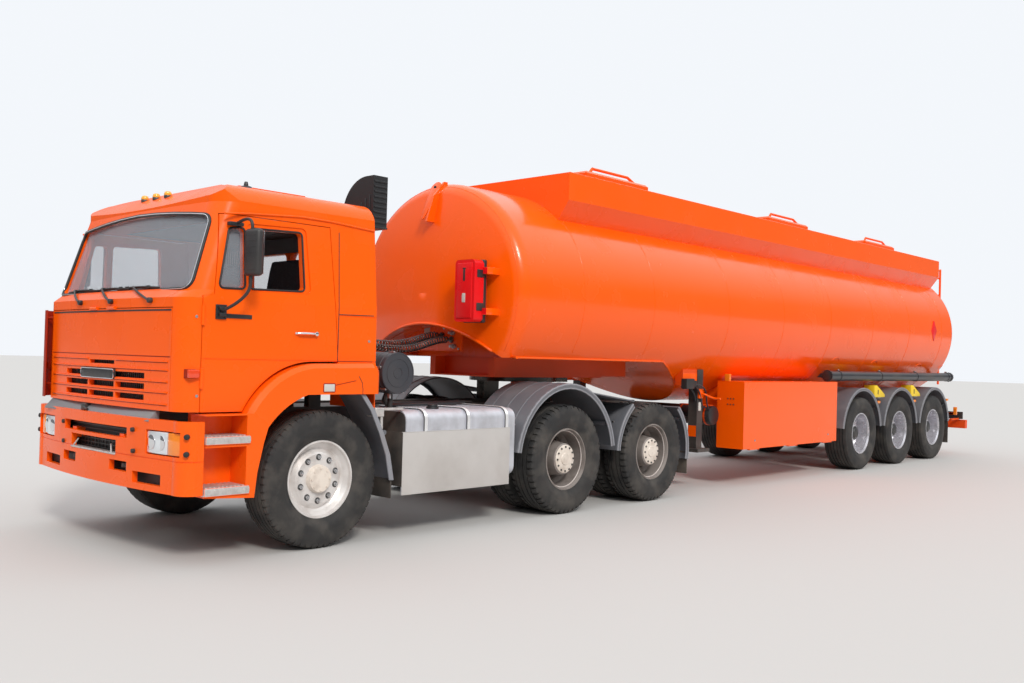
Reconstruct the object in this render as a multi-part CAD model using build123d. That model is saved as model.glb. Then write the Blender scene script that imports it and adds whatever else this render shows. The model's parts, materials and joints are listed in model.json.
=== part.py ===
from build123d import *
import os
from math import cos, radians, sin, sqrt

# Tanker truck: a three-axle cab-over tractor and its three-axle tank semi-trailer.
# Millimetres. The model is drawn with the ground at z = 0 and the front axle at y = 0,
# +Y to the rear and +X to the truck's left, and is moved to its origin when it is written.

os.makedirs("parts", exist_ok=True)

# Axles, as distances behind the front axle
WHEELBASE = 2840
BOGIE_SPACING = 1440
DRIVE_AXLES = [WHEELBASE, WHEELBASE + BOGIE_SPACING]
KINGPIN_Y = WHEELBASE + 510

# Overall reach
FRONT_OVERHANG = 1270
REAR_REACH = 14080
BODY_HALF_WIDTH = 1250
CENTRE_Y = (REAR_REACH - FRONT_OVERHANG) / 2
TRAILER_AXLE_SPACING = 1410
TRAILER_AXLE_Y = REAR_REACH - 4530
TRAILER_AXLES = [TRAILER_AXLE_Y + n * TRAILER_AXLE_SPACING for n in range(3)]

# Tyres and wheels
TYRE_RADIUS = 530
BEAD_RADIUS = 291
FLANGE_RADIUS = 298
FLANGE_THICKNESS = 12
BEAD_GAP = 0.3
ROAD_TYRE_WIDTH = 315
WIDE_TYRE_WIDTH = 385
ROAD_RIM_WIDTH = 229
WIDE_RIM_WIDTH = 298
FRONT_WHEEL_X = BODY_HALF_WIDTH - 225
TWIN_SPACING = 350
TWIN_WHEEL_X = BODY_HALF_WIDTH - ROAD_TYRE_WIDTH / 2 - TWIN_SPACING / 2
TRAILER_WHEEL_X = BODY_HALF_WIDTH - WIDE_TYRE_WIDTH / 2
TWIN_HUB_DEPTH = 172
TRAILER_HUB_DEPTH = 90
AXLE_Z = TYRE_RADIUS

# Clearances
DOOR_GAP = 6
FLARE_GAP = 14
SEAT_GAP = 0.3

# Wheel guards
GUARD_THICKNESS = 14
GUARD_INNER_X = 600
FIRST_GUARD_RADIUS = 722
SECOND_GUARD_RADIUS = 650
TRAILER_GUARD_RADIUS = 655
TRAILER_GUARD_INNER_X = BODY_HALF_WIDTH - 400
GUARD_OUTER_X = BODY_HALF_WIDTH - 30

# Places where something else is fastened
TOW_EYE_X = 415
TOW_EYE_Y = -1190
TOW_EYE_Z = 643
TOW_EYE_RADIUS = 16
TOW_EYE_THICKNESS = 30
OUTLET_ELBOW_Y = REAR_REACH - 1080
OUTLET_FACE_Y = REAR_REACH - 280
OUTLET_Z = 800
OUTLET_BORE_RADIUS = 40
OUTLET_BORE_LENGTH = 120
FLANGE_DISC_RADIUS = 100
FLANGE_DISC_THICKNESS = 20
FLANGE_BOLT_CIRCLE = 160
FLANGE_BOLTS = 8
FLANGE_HOLE_RADIUS = 9

# Tractor frame
RAIL_X = 405
RAIL_WIDTH = 70
RAIL_Z = (780, 1040)
FRAME_FRONT = -1150
FRAME_REAR = DRIVE_AXLES[1] + 720
CROSSMEMBERS = [-1000, 1250, WHEELBASE - 590, WHEELBASE + BOGIE_SPACING / 2, FRAME_REAR - 50]
CROSSMEMBER_DEPTH = 90
SPRING_WIDTH = 80
SPRING_THICKNESS = 80

# Steering
KNUCKLE_X = FRONT_WHEEL_X - 125
KNUCKLE_EYE_RADIUS = 48
KNUCKLE_EYE_HEIGHT = 130
KNUCKLE_PIN_RADIUS = 22
BRAKE_DRUM_RADIUS = 200

# Cab
CAB_HALF_WIDTH = BODY_HALF_WIDTH - 90
CAB_ROOF_HALF_WIDTH = CAB_HALF_WIDTH - 35
CAB_FRONT = -1220
CAB_REAR = 500
CAB_ROOF_REAR = CAB_REAR - 30
CAB_WALL = 60
CAB_BOTTOM = 1065
CAB_FLOOR = 1250
CAB_FLOOR_THICKNESS = 50
BELT_Z = 1860
COWL_Z = 1918
HEADER_Z = 2560
ROOF_CROWN_Z = 2800
ROOF_SHOULDER_X = CAB_ROOF_HALF_WIDTH - 215
ROOF_SHOULDER_DROP = 95
WINDSCREEN_SETBACK = 75
HEADER_SETBACK = 275
GLASS_THICKNESS = 6
GLASS_INSET = 22
BULKHEAD_THICKNESS = 15
LID_THICKNESS = 45
LID_HALF_WIDTH = CAB_HALF_WIDTH - 160
LID_Z = (1060, 1785)
BUFFER_RADIUS = 20
BUFFER_PLACES = [(-600, 1330), (600, 1330), (-600, 1700), (600, 1700)]
SEAM_DEPTH = 4
SEAM_WIDTH = 6
LID_SEAM_Z = 1441

# Side doors
DOOR_FRONT_Y = -1035
DOOR_PILLAR_Y = -950
DOOR_REAR_Y = 120
DOOR_TOP_REAR_Y = 28
DOOR_TOP_Z = 2466
DOOR_RECESS_DEPTH = 9
DOOR_INNER_X = CAB_HALF_WIDTH - 160
DOOR_CREASE_Z = 1436
SLEEPER_SEAM_ZS = (1437, 1792)

# Hinges, as radius and length of the moving barrel
DOOR_HINGE = (12, 70)
DOOR_HINGE_X = CAB_HALF_WIDTH + 5
DOOR_HINGE_ZS = (1300, 1740)
LID_HINGE = (12, 60)
LID_HINGE_Y = CAB_FRONT - 2
LID_HINGE_Z = LID_Z[1] + 6
LID_HINGE_XS = (-150, 150)
BOX_HINGE = (6, 120)

# Front wheel arch
ARCH_RADIUS = 685
STEP_TOP_Z = 1053
FLARE_FOOT_Y = -700
FLARE_TOP_Z = 1424
FLARE_REAR_Y = 490
FLARE_UNDERSIDE_Z = 1184
FLARE_INNER_X = BODY_HALF_WIDTH - 250
STEP_TREADS = [(845, 900), (490, 548)]

# Bumper
BUMPER_Z = (500, 1005)
BUMPER_REAR_Y = -1045
BUMPER_THICKNESS = 40

# Tank
TANK_HALF_WIDTH = 1200
TANK_HALF_HEIGHT = 1120
TANK_CENTRE_Z = 2120
TANK_FRONT_Y = 2000
TANK_REAR_Y = REAR_REACH - 580
TANK_SIDE_RADIUS = 1070
HEAD_CROWN_RADIUS = 4200
HEAD_KNUCKLE_RADIUS = 150
HEAD_CAP_DEPTH = 700
ARCH_BACK_Y = 2760
SKIRT_Z = 1500
SLOPE_START_Y = 4750
SLOPE_END_Y = 5900

# Boards along the top of the tank
BOARD_FRONT_Y = 3050
BOARD_REAR_Y = TANK_REAR_Y - 350
BOARD_BASE_X = 830
BOARD_KINK_X = 985
BOARD_TOP_Z = 3390
BOARD_KINK_Z = 3110
BOARD_THICKNESS = 12
MANHOLE_YS = [TANK_FRONT_Y + 2600, TANK_REAR_Y - 4750, TANK_REAR_Y - 1500]

# Trailer frame and what hangs on it
TRAILER_RAIL_X = (400, 480)
TRAILER_RAIL_Z = (840, 1200)
TRAILER_RAIL_Y = (TRAILER_AXLE_Y - 950, TANK_REAR_Y + 100)
LEG_X = 900
LEG_Y = 5600
BOX_X = (BODY_HALF_WIDTH - 380, BODY_HALF_WIDTH - 18)
BOX_Y = (LEG_Y + 540, TRAILER_AXLE_Y - 870)
BOX_Z = (460, 1280)
BOX_DOOR_THICKNESS = 12
BOX_HINGE_X = BOX_X[1] + 11
BOX_HINGE_Z = BOX_Z[0] - 8
HOSE_TUBE_X = BODY_HALF_WIDTH - 80
HOSE_TUBE_Z = 1368
HOSE_TUBE_RADIUS = 70
HOSE_TUBE_Y = (TRAILER_AXLE_Y - 1020, TRAILER_AXLE_Y + 3650)
CONNECTOR_PLATE_X = (-640, 226)
CONNECTOR_PLATE_Y = (2340, 2352)
CONNECTOR_PLATE_Z = (1550, 1830)

# Curly air hoses: radius outside the curls, and the routes from the cab's rear to the connector plate
HOSE_RADIUS = 38
GLAND_RADIUS = 30
GLAND_LENGTH = 20
HOSE_START_Y = CAB_REAR + GLAND_LENGTH
HOSE_END_Y = CONNECTOR_PLATE_Y[0] - GLAND_LENGTH
HOSE_ROUTES = [
    [(80, HOSE_START_Y, 1750), (80, 640, 1750), (88, 800, 1715), (98, 1000, 1650), (110, 1220, 1590),
     (118, 1450, 1555), (118, 1680, 1552), (108, 1900, 1590), (95, 2080, 1645), (90, 2215, 1668),
     (90, HOSE_END_Y, 1668)],
    [(-70, HOSE_START_Y, 1790), (-70, 650, 1790), (-62, 830, 1750), (-50, 1040, 1685), (-35, 1260, 1630),
     (-22, 1480, 1602), (-20, 1700, 1604), (-32, 1910, 1640), (-50, 2090, 1690), (-55, 2215, 1710),
     (-55, HOSE_END_Y, 1710)],
]

# Coupling
FIFTH_WHEEL_TOP_Z = 1300
COUPLING_GAP = 0.3
PIN_CLEARANCE = 0.05
KINGPIN_RADIUS = 25.4


def block(x, y, z):
    """Box between the low and high ends of x, y and z."""
    centre = [(low + high) / 2 for low, high in (x, y, z)]
    return Pos(*centre) * Box(x[1] - x[0], y[1] - y[0], z[1] - z[0])


def rod(axis, centre, radius, length):
    """Cylinder along X, Y or Z, centred on a point."""
    turn = {"X": Rot(0, 90, 0), "Y": Rot(90, 0, 0), "Z": Rot(0, 0, 0)}[axis]
    return Pos(Vector(*centre)) * turn * Cylinder(radius, length)


def side_prism(outline, x0, x1):
    """Closed wire in (y, z), pushed along X from x0 to x1."""
    return extrude(Plane.YZ.offset(x0) * make_face(outline), x1 - x0)


def front_prism(outline, y0, y1):
    """Closed wire in (x, z), pushed along Y from y0 to y1."""
    return extrude(Plane.XZ.offset(-y0) * make_face(outline), -(y1 - y0))


def plan_prism(outline, z0, z1):
    """Closed wire in (x, y), pushed up from z0 to z1."""
    return extrude(Plane.XY.offset(z0) * make_face(outline), z1 - z0)


def corners(*points):
    """Closed polyline."""
    return Polyline(*points, close=True)


def rounded(points, radius):
    """Closed polyline with its corners rounded."""
    return fillet(make_face(corners(*points)).vertices(), radius)


def both(piece):
    """The piece and its mirror image across the truck's middle plane."""
    return [piece, mirror(piece, about=Plane.YZ)]


def ring_strip(centre, radius, thickness, start, end, x0, x1):
    """Curved sheet about an axle: from angle start to end, 0 to the rear and 90 up."""
    y, z = centre

    def at(r, a):
        return (y + r * cos(radians(a)), z + r * sin(radians(a)))

    middle = (start + end) / 2
    outer = radius + thickness
    outline = [
        ThreePointArc(at(radius, start), at(radius, middle), at(radius, end)),
        Line(at(radius, end), at(outer, end)),
        ThreePointArc(at(outer, end), at(outer, middle), at(outer, start)),
        Line(at(outer, start), at(radius, start)),
    ]
    return side_prism(outline, x0, x1)


def hinge(axis, centre, barrel):
    """Three barrels on one axis: the moving one in the middle and the two fixed ones beside it."""
    radius, length = barrel
    side = Vector(*[1 if letter == axis else 0 for letter in "XYZ"])
    shift = side * (0.75 * length + SEAT_GAP)
    middle = Vector(*centre)
    moving = rod(axis, middle, radius, length)
    fixed = rod(axis, middle + shift, radius, length / 2) + rod(axis, middle - shift, radius, length / 2)
    room_moving = rod(axis, middle, radius + SEAT_GAP, length + 2 * SEAT_GAP)
    room_fixed = rod(axis, middle + shift, radius + SEAT_GAP, length / 2 + 2 * SEAT_GAP)
    room_fixed += rod(axis, middle - shift, radius + SEAT_GAP, length / 2 + 2 * SEAT_GAP)
    return moving, fixed, room_moving, room_fixed


def write(name, pieces):
    """Move the pieces to the origin at the middle of the footprint and write them."""
    if not isinstance(pieces, (list, tuple)):
        pieces = [pieces]
    solids = [solid for piece in pieces for solid in piece.solids()]
    moved = [Pos(0, -CENTRE_Y, 0) * solid for solid in solids]
    export_step(Compound(label=name, children=moved), f"parts/{name}.step")


# Wheels


def tyre(width, rim_width):
    """Tyre ring about X: bead, sidewall bulge, shoulder and tread."""
    half, bead = width / 2, rim_width / 2 - BEAD_GAP
    profile = [
        (bead, BEAD_RADIUS + BEAD_GAP),
        (bead, FLANGE_RADIUS + 4),
        (half, 400),
        (half - 4, 465),
        (half - 30, TYRE_RADIUS - 8),
        (half - 48, TYRE_RADIUS),
    ]
    left = [(-x, r) for x, r in reversed(profile)]
    return revolve(make_face(corners(*profile, *left)), Axis.X)


def rim(rim_width, disc):
    """Rim about X with its disc: disc lists (x, r) down the outside and back up the inside."""
    half = rim_width / 2
    lip = half + FLANGE_THICKNESS
    barrel_radius = BEAD_RADIUS - 14
    profile = [
        (-lip, FLANGE_RADIUS),
        (-half, FLANGE_RADIUS),
        (-half, BEAD_RADIUS),
        (half, BEAD_RADIUS),
        (half, FLANGE_RADIUS),
        (lip, FLANGE_RADIUS),
        (lip, BEAD_RADIUS - 6),
        (half - 10, barrel_radius),
        *disc,
        (-half + 10, barrel_radius),
        (-lip, BEAD_RADIUS - 6),
    ]
    return revolve(make_face(corners(*profile)), Axis.X)


# Rim discs, as (x out from the rim's middle, radius)
FRONT_DISC = [(70, 250), (56, 232), (84, 205), (92, 190), (92, 0), (60, 0), (60, 175), (30, 228), (30, 262)]
TWIN_OUTER_DISC = [(-50, 262), (-95, 230), (-150, 215), (-150, 185), (95, 150), (104, 137), (104, 0),
                   (-TWIN_HUB_DEPTH, 0), (-TWIN_HUB_DEPTH, 235), (-112, 262)]
TWIN_INNER_DISC = [(112, 262), (TWIN_SPACING - TWIN_HUB_DEPTH, 235), (TWIN_SPACING - TWIN_HUB_DEPTH, 215), (150, 215),
                   (150, 225), (60, 262)]
TRAILER_DISC = [(-20, 262), (-60, 225), (-60, 160), (60, 120), (68, 108), (68, 0), (-TRAILER_HUB_DEPTH, 0),
                (-TRAILER_HUB_DEPTH, 232), (-60, 262)]


def wheel_pair(name, y, x, tyre_width, rim_width, disc):
    """Single wheels on both sides of an axle."""
    for side, sign in (("left", 1), ("right", -1)):
        place = Pos(sign * x, y, AXLE_Z) * Rot(0, 0, 0 if sign > 0 else 180)
        write(f"tyre_{name}_{side}", place * tyre(tyre_width, rim_width))
        write(f"rim_{name}_{side}", place * rim(rim_width, disc))


def twin_pair(name, y):
    """Twin wheels on both sides of a drive axle."""
    for side, sign in (("left", 1), ("right", -1)):
        turn = Rot(0, 0, 0 if sign > 0 else 180)
        outer = Pos(sign * (TWIN_WHEEL_X + TWIN_SPACING / 2), y, AXLE_Z) * turn
        inner = Pos(sign * (TWIN_WHEEL_X - TWIN_SPACING / 2), y, AXLE_Z) * turn
        ring = tyre(ROAD_TYRE_WIDTH, ROAD_RIM_WIDTH)
        write(f"tyres_{name}_{side}", [outer * ring, inner * ring])
        rims = outer * rim(ROAD_RIM_WIDTH, TWIN_OUTER_DISC) + inner * rim(ROAD_RIM_WIDTH, TWIN_INNER_DISC)
        write(f"rims_{name}_{side}", rims)


# Tractor chassis


def tractor_frame():
    """Two rails joined by crossmembers, with the tail bar and the cab's mounts."""
    pieces = []
    for sign in (-1, 1):
        low = sign * RAIL_X - RAIL_WIDTH / 2
        pieces.append(block((low, low + RAIL_WIDTH), (FRAME_FRONT, FRAME_REAR), RAIL_Z))
    inner = RAIL_X - RAIL_WIDTH / 2
    for y in CROSSMEMBERS:
        half = CROSSMEMBER_DEPTH / 2
        pieces.append(block((-inner, inner), (y - half, y + half), (RAIL_Z[0] + 20, RAIL_Z[1] - 20)))
    pieces.append(block((-900, 900), (FRAME_REAR, FRAME_REAR + 60), (860, 960)))
    for sign in (-1, 1):
        low = sign * RAIL_X - RAIL_WIDTH / 2
        for y in (-850, 430):
            pieces.append(block((low, low + RAIL_WIDTH), (y - 60, y + 60), (RAIL_Z[1], CAB_FLOOR)))
    for sign in (-1, 1):
        x = sign * TOW_EYE_X
        z = (TOW_EYE_Z - TOW_EYE_THICKNESS / 2, TOW_EYE_Z + TOW_EYE_THICKNESS / 2)
        eye = block((x - 30, x + 30), (FRAME_FRONT, FRAME_FRONT + 90), (z[0], RAIL_Z[0]))
        eye += block((x - 35, x + 35), (TOW_EYE_Y, FRAME_FRONT + 90), z)
        eye += rod("Z", (x, TOW_EYE_Y, TOW_EYE_Z), 35, TOW_EYE_THICKNESS)
        pieces.append(eye - rod("Z", (x, TOW_EYE_Y, TOW_EYE_Z), TOW_EYE_RADIUS, TOW_EYE_THICKNESS + 10))
    return Part() + pieces


def axle_tube(y, radius, reach):
    """Axle casing across the truck."""
    return rod("X", (0, y, AXLE_Z), radius, 2 * reach)


def tractor_running_gear():
    """Front beam with its eyes, drive axles with their differentials, and leaf springs."""
    front = block((-RAIL_X - 20, RAIL_X + 20), (-45, 45), (AXLE_Z - 115, AXLE_Z - 15))
    half = SPRING_WIDTH / 2
    spring_z = AXLE_Z + 45
    for sign in (-1, 1):
        arm = tuple(sorted((sign * RAIL_X, sign * (KNUCKLE_X - 30))))
        front += block(arm, (-45, 45), (AXLE_Z - 55, spring_z + 2))
        eye = (sign * KNUCKLE_X, 0, AXLE_Z)
        front += rod("Z", eye, KNUCKLE_EYE_RADIUS, KNUCKLE_EYE_HEIGHT)
        front -= rod("Z", eye, KNUCKLE_PIN_RADIUS + PIN_CLEARANCE, KNUCKLE_EYE_HEIGHT + 10)
        x = (sign * RAIL_X - half, sign * RAIL_X + half)
        front += block(x, (-780, 780), (spring_z, spring_z + SPRING_THICKNESS))
        for y in (-780, 720):
            front += block(x, (y, y + 60), (spring_z + SPRING_THICKNESS - 20, RAIL_Z[0]))
    low, high = DRIVE_AXLES
    hub_face = TWIN_WHEEL_X + TWIN_SPACING / 2 - TWIN_HUB_DEPTH - SEAT_GAP
    rear = axle_tube(low, 75, hub_face) + axle_tube(high, 75, hub_face)
    for y in DRIVE_AXLES:
        for sign in (-1, 1):
            rear += rod("X", (sign * (TWIN_WHEEL_X - TWIN_SPACING / 2 - 40), y, AXLE_Z), BRAKE_DRUM_RADIUS, 180)
        rear += rod("X", (0, y, AXLE_Z), 200, 230)
        rear += rod("X", (0, y, AXLE_Z), 130, 420)
    for sign in (-1, 1):
        x = (sign * RAIL_X - half, sign * RAIL_X + half)
        rear += block(x, (low - 60, high + 60), (AXLE_Z + 60, AXLE_Z + 150))
        rear += block(x, ((low + high) / 2 - 110, (low + high) / 2 + 110), (AXLE_Z + 150, RAIL_Z[0]))
    return front + rear


def engine_block():
    """Engine and gearbox below the cab, as one plain block each."""
    engine = block((-320, 320), (-860, 300), (700, 1190))
    gearbox = block((-220, 220), (300, 1100), (740, 1030))
    inner = RAIL_X - RAIL_WIDTH / 2
    feet = block((-inner, inner), (-420, -300), (800, 900)) + block((-inner, inner), (900, 1000), (800, 900))
    return engine + gearbox + feet


def knuckle():
    """Steering knuckle, left: two lugs over and under the beam's eye, and the stub axle."""
    half = KNUCKLE_EYE_HEIGHT / 2
    gap = SEAT_GAP
    clear = 5
    lug = 40
    top = rod("Z", (KNUCKLE_X, 0, AXLE_Z + half + gap + lug / 2), KNUCKLE_EYE_RADIUS, lug)
    bottom = rod("Z", (KNUCKLE_X, 0, AXLE_Z - half - gap - lug / 2), KNUCKLE_EYE_RADIUS, lug)
    reach = half + gap + lug
    plate_x = KNUCKLE_X + KNUCKLE_EYE_RADIUS + clear
    plate = block((plate_x, plate_x + 30), (-60, 60), (AXLE_Z - reach, AXLE_Z + reach))
    arms = Part()
    for sign in (-1, 1):
        z = AXLE_Z + sign * (half + gap + lug / 2)
        arms += block((KNUCKLE_X, plate_x), (-KNUCKLE_EYE_RADIUS, KNUCKLE_EYE_RADIUS), (z - lug / 2, z + lug / 2))
    hub_back = FRONT_WHEEL_X + 60 - SEAT_GAP
    stub = rod("X", ((plate_x + hub_back) / 2, 0, AXLE_Z), 55, hub_back - plate_x)
    drum = rod("X", (FRONT_WHEEL_X - 5, 0, AXLE_Z), BRAKE_DRUM_RADIUS - 10, 60)
    pin = rod("Z", (KNUCKLE_X, 0, AXLE_Z), KNUCKLE_PIN_RADIUS, 2 * reach)
    return top + bottom + plate + arms + stub + drum + pin


# Cab: two ruled lofts between plan sections, and a domed roof


def cab_section(z, setback, half_width, rear, inset):
    """Plan outline of the cab: bowed front, rounded front corners, straight sides."""
    front = CAB_FRONT + setback + inset
    side = half_width - inset
    back = rear - inset
    bow = 35
    corner_x, corner_y = 190, 165
    a = (side - corner_x, front + bow)
    b = (side, front + bow + corner_y)
    bend = (side - 0.26 * corner_x, front + bow + 0.32 * corner_y)
    wire = [
        ThreePointArc((-a[0], a[1]), (0, front), a),
        ThreePointArc(a, bend, b),
        Line(b, (side, back)),
        Line((side, back), (-side, back)),
        Line((-side, back), (-b[0], b[1])),
        ThreePointArc((-b[0], b[1]), (-bend[0], bend[1]), (-a[0], a[1])),
    ]
    return Plane.XY.offset(z) * make_face(wire)


def roof_shape(inset):
    """Domed roof: the header section pushed up, trimmed by a side and a front profile."""
    top = ROOF_CROWN_Z - inset
    block_up = extrude(cab_section(HEADER_Z, HEADER_SETBACK, CAB_ROOF_HALF_WIDTH, CAB_ROOF_REAR, inset), 400)
    front_y = CAB_FRONT + HEADER_SETBACK + inset
    rear_y = CAB_ROOF_REAR - inset
    side = [
        Line((front_y - 5, HEADER_Z), (front_y - 5, HEADER_Z + 10)),
        ThreePointArc((front_y - 5, HEADER_Z + 10), (front_y + 210, top - 82), (-380, top - 22)),
        ThreePointArc((-380, top - 22), (0, top), (rear_y - 80, top - 14)),
        ThreePointArc((rear_y - 80, top - 14), (rear_y - 15, top - 45), (rear_y + 5, top - 110)),
        Line((rear_y + 5, top - 110), (rear_y + 5, HEADER_Z)),
        Line((rear_y + 5, HEADER_Z), (front_y - 5, HEADER_Z)),
    ]
    half = CAB_ROOF_HALF_WIDTH - inset + 1
    shoulder = (ROOF_SHOULDER_X - inset, top - ROOF_SHOULDER_DROP)
    bend = (half - 62, top - ROOF_SHOULDER_DROP - 45)
    front = [
        Line((-half, HEADER_Z), (half, HEADER_Z)),
        Line((half, HEADER_Z), (half, HEADER_Z + 10)),
        ThreePointArc((half, HEADER_Z + 10), bend, shoulder),
        ThreePointArc(shoulder, (0, top), (-shoulder[0], shoulder[1])),
        ThreePointArc((-shoulder[0], shoulder[1]), (-bend[0], bend[1]), (-half, HEADER_Z + 10)),
        Line((-half, HEADER_Z + 10), (-half, HEADER_Z)),
    ]
    return block_up & side_prism(side, -1300, 1300) & front_prism(front, -1400, 700)


def cab_solid(inset):
    """The cab's outer form, moved inwards by inset all round."""
    levels = [
        (CAB_BOTTOM, 5, CAB_HALF_WIDTH, CAB_REAR),
        (BELT_Z, 5, CAB_HALF_WIDTH, CAB_REAR - 10),
        (COWL_Z, WINDSCREEN_SETBACK, CAB_HALF_WIDTH - 4, CAB_REAR - 12),
        (HEADER_Z, HEADER_SETBACK, CAB_ROOF_HALF_WIDTH, CAB_ROOF_REAR),
    ]
    sections = [cab_section(*level, inset) for level in levels]
    body = Part()
    for low, high in zip(sections, sections[1:]):
        body += loft([low, high], ruled=True)
    return body


def flare_outline(grow):
    """Side outline of the front wheel's flare, from the arch up and over to its rear end."""
    g = grow
    return [
        ThreePointArc((FLARE_FOOT_Y - g, STEP_TOP_Z), (-475 - g, 1300 + g), (-113, FLARE_TOP_Z - 8 + g)),
        Line((-113, FLARE_TOP_Z - 8 + g), (FLARE_REAR_Y - 90, FLARE_TOP_Z + g)),
        ThreePointArc((FLARE_REAR_Y - 90, FLARE_TOP_Z + g), (FLARE_REAR_Y - 24 + g, FLARE_TOP_Z - 26 + g),
                      (FLARE_REAR_Y + g, FLARE_TOP_Z - 86)),
        Line((FLARE_REAR_Y + g, FLARE_TOP_Z - 86), (FLARE_REAR_Y + g, FLARE_UNDERSIDE_Z)),
    ]


def door_outline(grow):
    """Side outline of the door, in (y, z): it steps back at the pillar and leans at its rear edge."""
    g = grow
    points = [
        (DOOR_FRONT_Y - g, 900),
        (DOOR_FRONT_Y - g, BELT_Z + 15),
        (DOOR_PILLAR_Y - g, BELT_Z + 30),
        (-888 - g, DOOR_TOP_Z + g),
        (DOOR_TOP_REAR_Y + g, DOOR_TOP_Z + g),
        (DOOR_REAR_Y + g, DOOR_CREASE_Z),
        (DOOR_REAR_Y + g, 900),
    ]
    return corners(*points)


def flare_cut(grow):
    """Everything below the flare's outer outline, to trim the cab's side and the door."""
    outline = flare_outline(grow)
    start = outline[0] @ 0
    end = outline[-1] @ 1
    closing = Polyline((end.X, end.Y), (end.X, 900), (start.X, 900), (start.X, start.Y))
    return outline + [closing]


# Side windows, as (y, z) corners
QUARTER_LIGHT = [(-915, 1943), (-712, 1948), (-718, 2378), (-836, 2364)]
DOOR_WINDOW = [(-662, 1950), (-200, 1962), (-225, 2395), (-666, 2380)]
DOOR_RECESS = [(-697, 1928), (-140, 1936), (-190, 2435), (-700, 2418)]
REAR_WINDOWS = [(-640, -30), (30, 640)]
REAR_WINDOW_Z = (1950, 2360)
SCREEN_BOTTOM = (1060, 1925)
SCREEN_TOP = (1025, 2455)
SCREEN_TOP_CENTRE_Z = 2513
SCREEN_CORNER = 70
GRILLE_SLOTS = [
    # half-width, low z, high z, columns
    (210, 1374, 1402, 1),
    (660, 1280, 1322, 1),
    (660, 1204, 1246, 3),
    (660, 1126, 1168, 3),
]
SLOT_BAR = 26


def window_prism(points, radius, x0, x1, grow=0):
    """Rounded side window cutter."""
    face = rounded(points, radius)
    if grow:
        face = offset(face, amount=grow)
    return extrude(Plane.YZ.offset(x0) * face, x1 - x0)


def front_cut(face, y0, y1):
    """Face in (x, z), pushed along Y from y0 to y1."""
    return extrude(Plane.XZ.offset(-y0) * face, -(y1 - y0))


def screen_face(grow):
    """Windscreen outline in (x, z), with an arched top and rounded corners."""
    (x0, z0), (x1, z1) = SCREEN_BOTTOM, SCREEN_TOP
    outline = [
        Line((-x0, z0), (x0, z0)),
        Line((x0, z0), (x1, z1)),
        ThreePointArc((x1, z1), (0, SCREEN_TOP_CENTRE_Z), (-x1, z1)),
        Line((-x1, z1), (-x0, z0)),
    ]
    face = fillet(make_face(outline).vertices(), SCREEN_CORNER)
    return offset(face, amount=grow) if grow else face


def rear_faces(grow):
    """The two rear windows in (x, z), on each side of their pillar."""
    z0, z1 = REAR_WINDOW_Z
    faces = [rounded([(a, z0), (b, z0), (b, z1), (a, z1)], 45) for a, b in REAR_WINDOWS]
    return [offset(face, amount=grow) if grow else face for face in faces]


def grille_cuts():
    """Cutters for the rows of slots in the front panel."""
    cuts = []
    for half, low, high, columns in GRILLE_SLOTS:
        width = (2 * half - (columns - 1) * SLOT_BAR) / columns
        for n in range(columns):
            x = -half + n * (width + SLOT_BAR)
            cuts.append(block((x, x + width), (CAB_FRONT - 50, CAB_FRONT + 200), (low, high)))
    return cuts


def side_seams():
    """Grooves along the cab's sides: the door's crease and the seams of the panel behind it."""
    bottom = cab_solid(SEAM_DEPTH)
    half = SEAM_WIDTH / 2
    cuts = [block((900, 1300), (DOOR_FRONT_Y, DOOR_REAR_Y), (DOOR_CREASE_Z - half, DOOR_CREASE_Z + half))]
    for z in SLEEPER_SEAM_ZS:
        cuts.append(block((900, 1300), (DOOR_REAR_Y + DOOR_GAP, CAB_REAR + 10), (z - half, z + half)))
    return [cut - bottom for cut in cuts]


def build_lid(outer, hinges):
    """Front panel with its seam, its rows of slots and its share of the hinges."""
    lid = (outer - cab_solid(LID_THICKNESS)) & block((-LID_HALF_WIDTH, LID_HALF_WIDTH), (-1300, -1060), LID_Z)
    seam = (LID_SEAM_Z - SEAM_WIDTH / 2, LID_SEAM_Z + SEAM_WIDTH / 2)
    lid -= (outer - cab_solid(SEAM_DEPTH)) & block((-1300, 1300), (-1300, -1060), seam)
    for cut in grille_cuts():
        lid -= cut
    for moving, _, _, room in hinges:
        lid = lid - room + moving
    return lid


def build_door(wall, hinges):
    """Left door: the wall inside its outline, with the window openings and the pressed frame round them."""
    tool = side_prism(door_outline(0), DOOR_INNER_X, 1300) - side_prism(flare_cut(FLARE_GAP), 800, 1400)
    door = wall & tool
    door -= window_prism(DOOR_RECESS, 45, 900, 1300) - cab_solid(DOOR_RECESS_DEPTH)
    for window in (QUARTER_LIGHT, DOOR_WINDOW):
        door -= window_prism(window, 35, 900, 1300)
    for moving, _, _, room in hinges:
        door = door - room + moving
    return door


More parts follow.
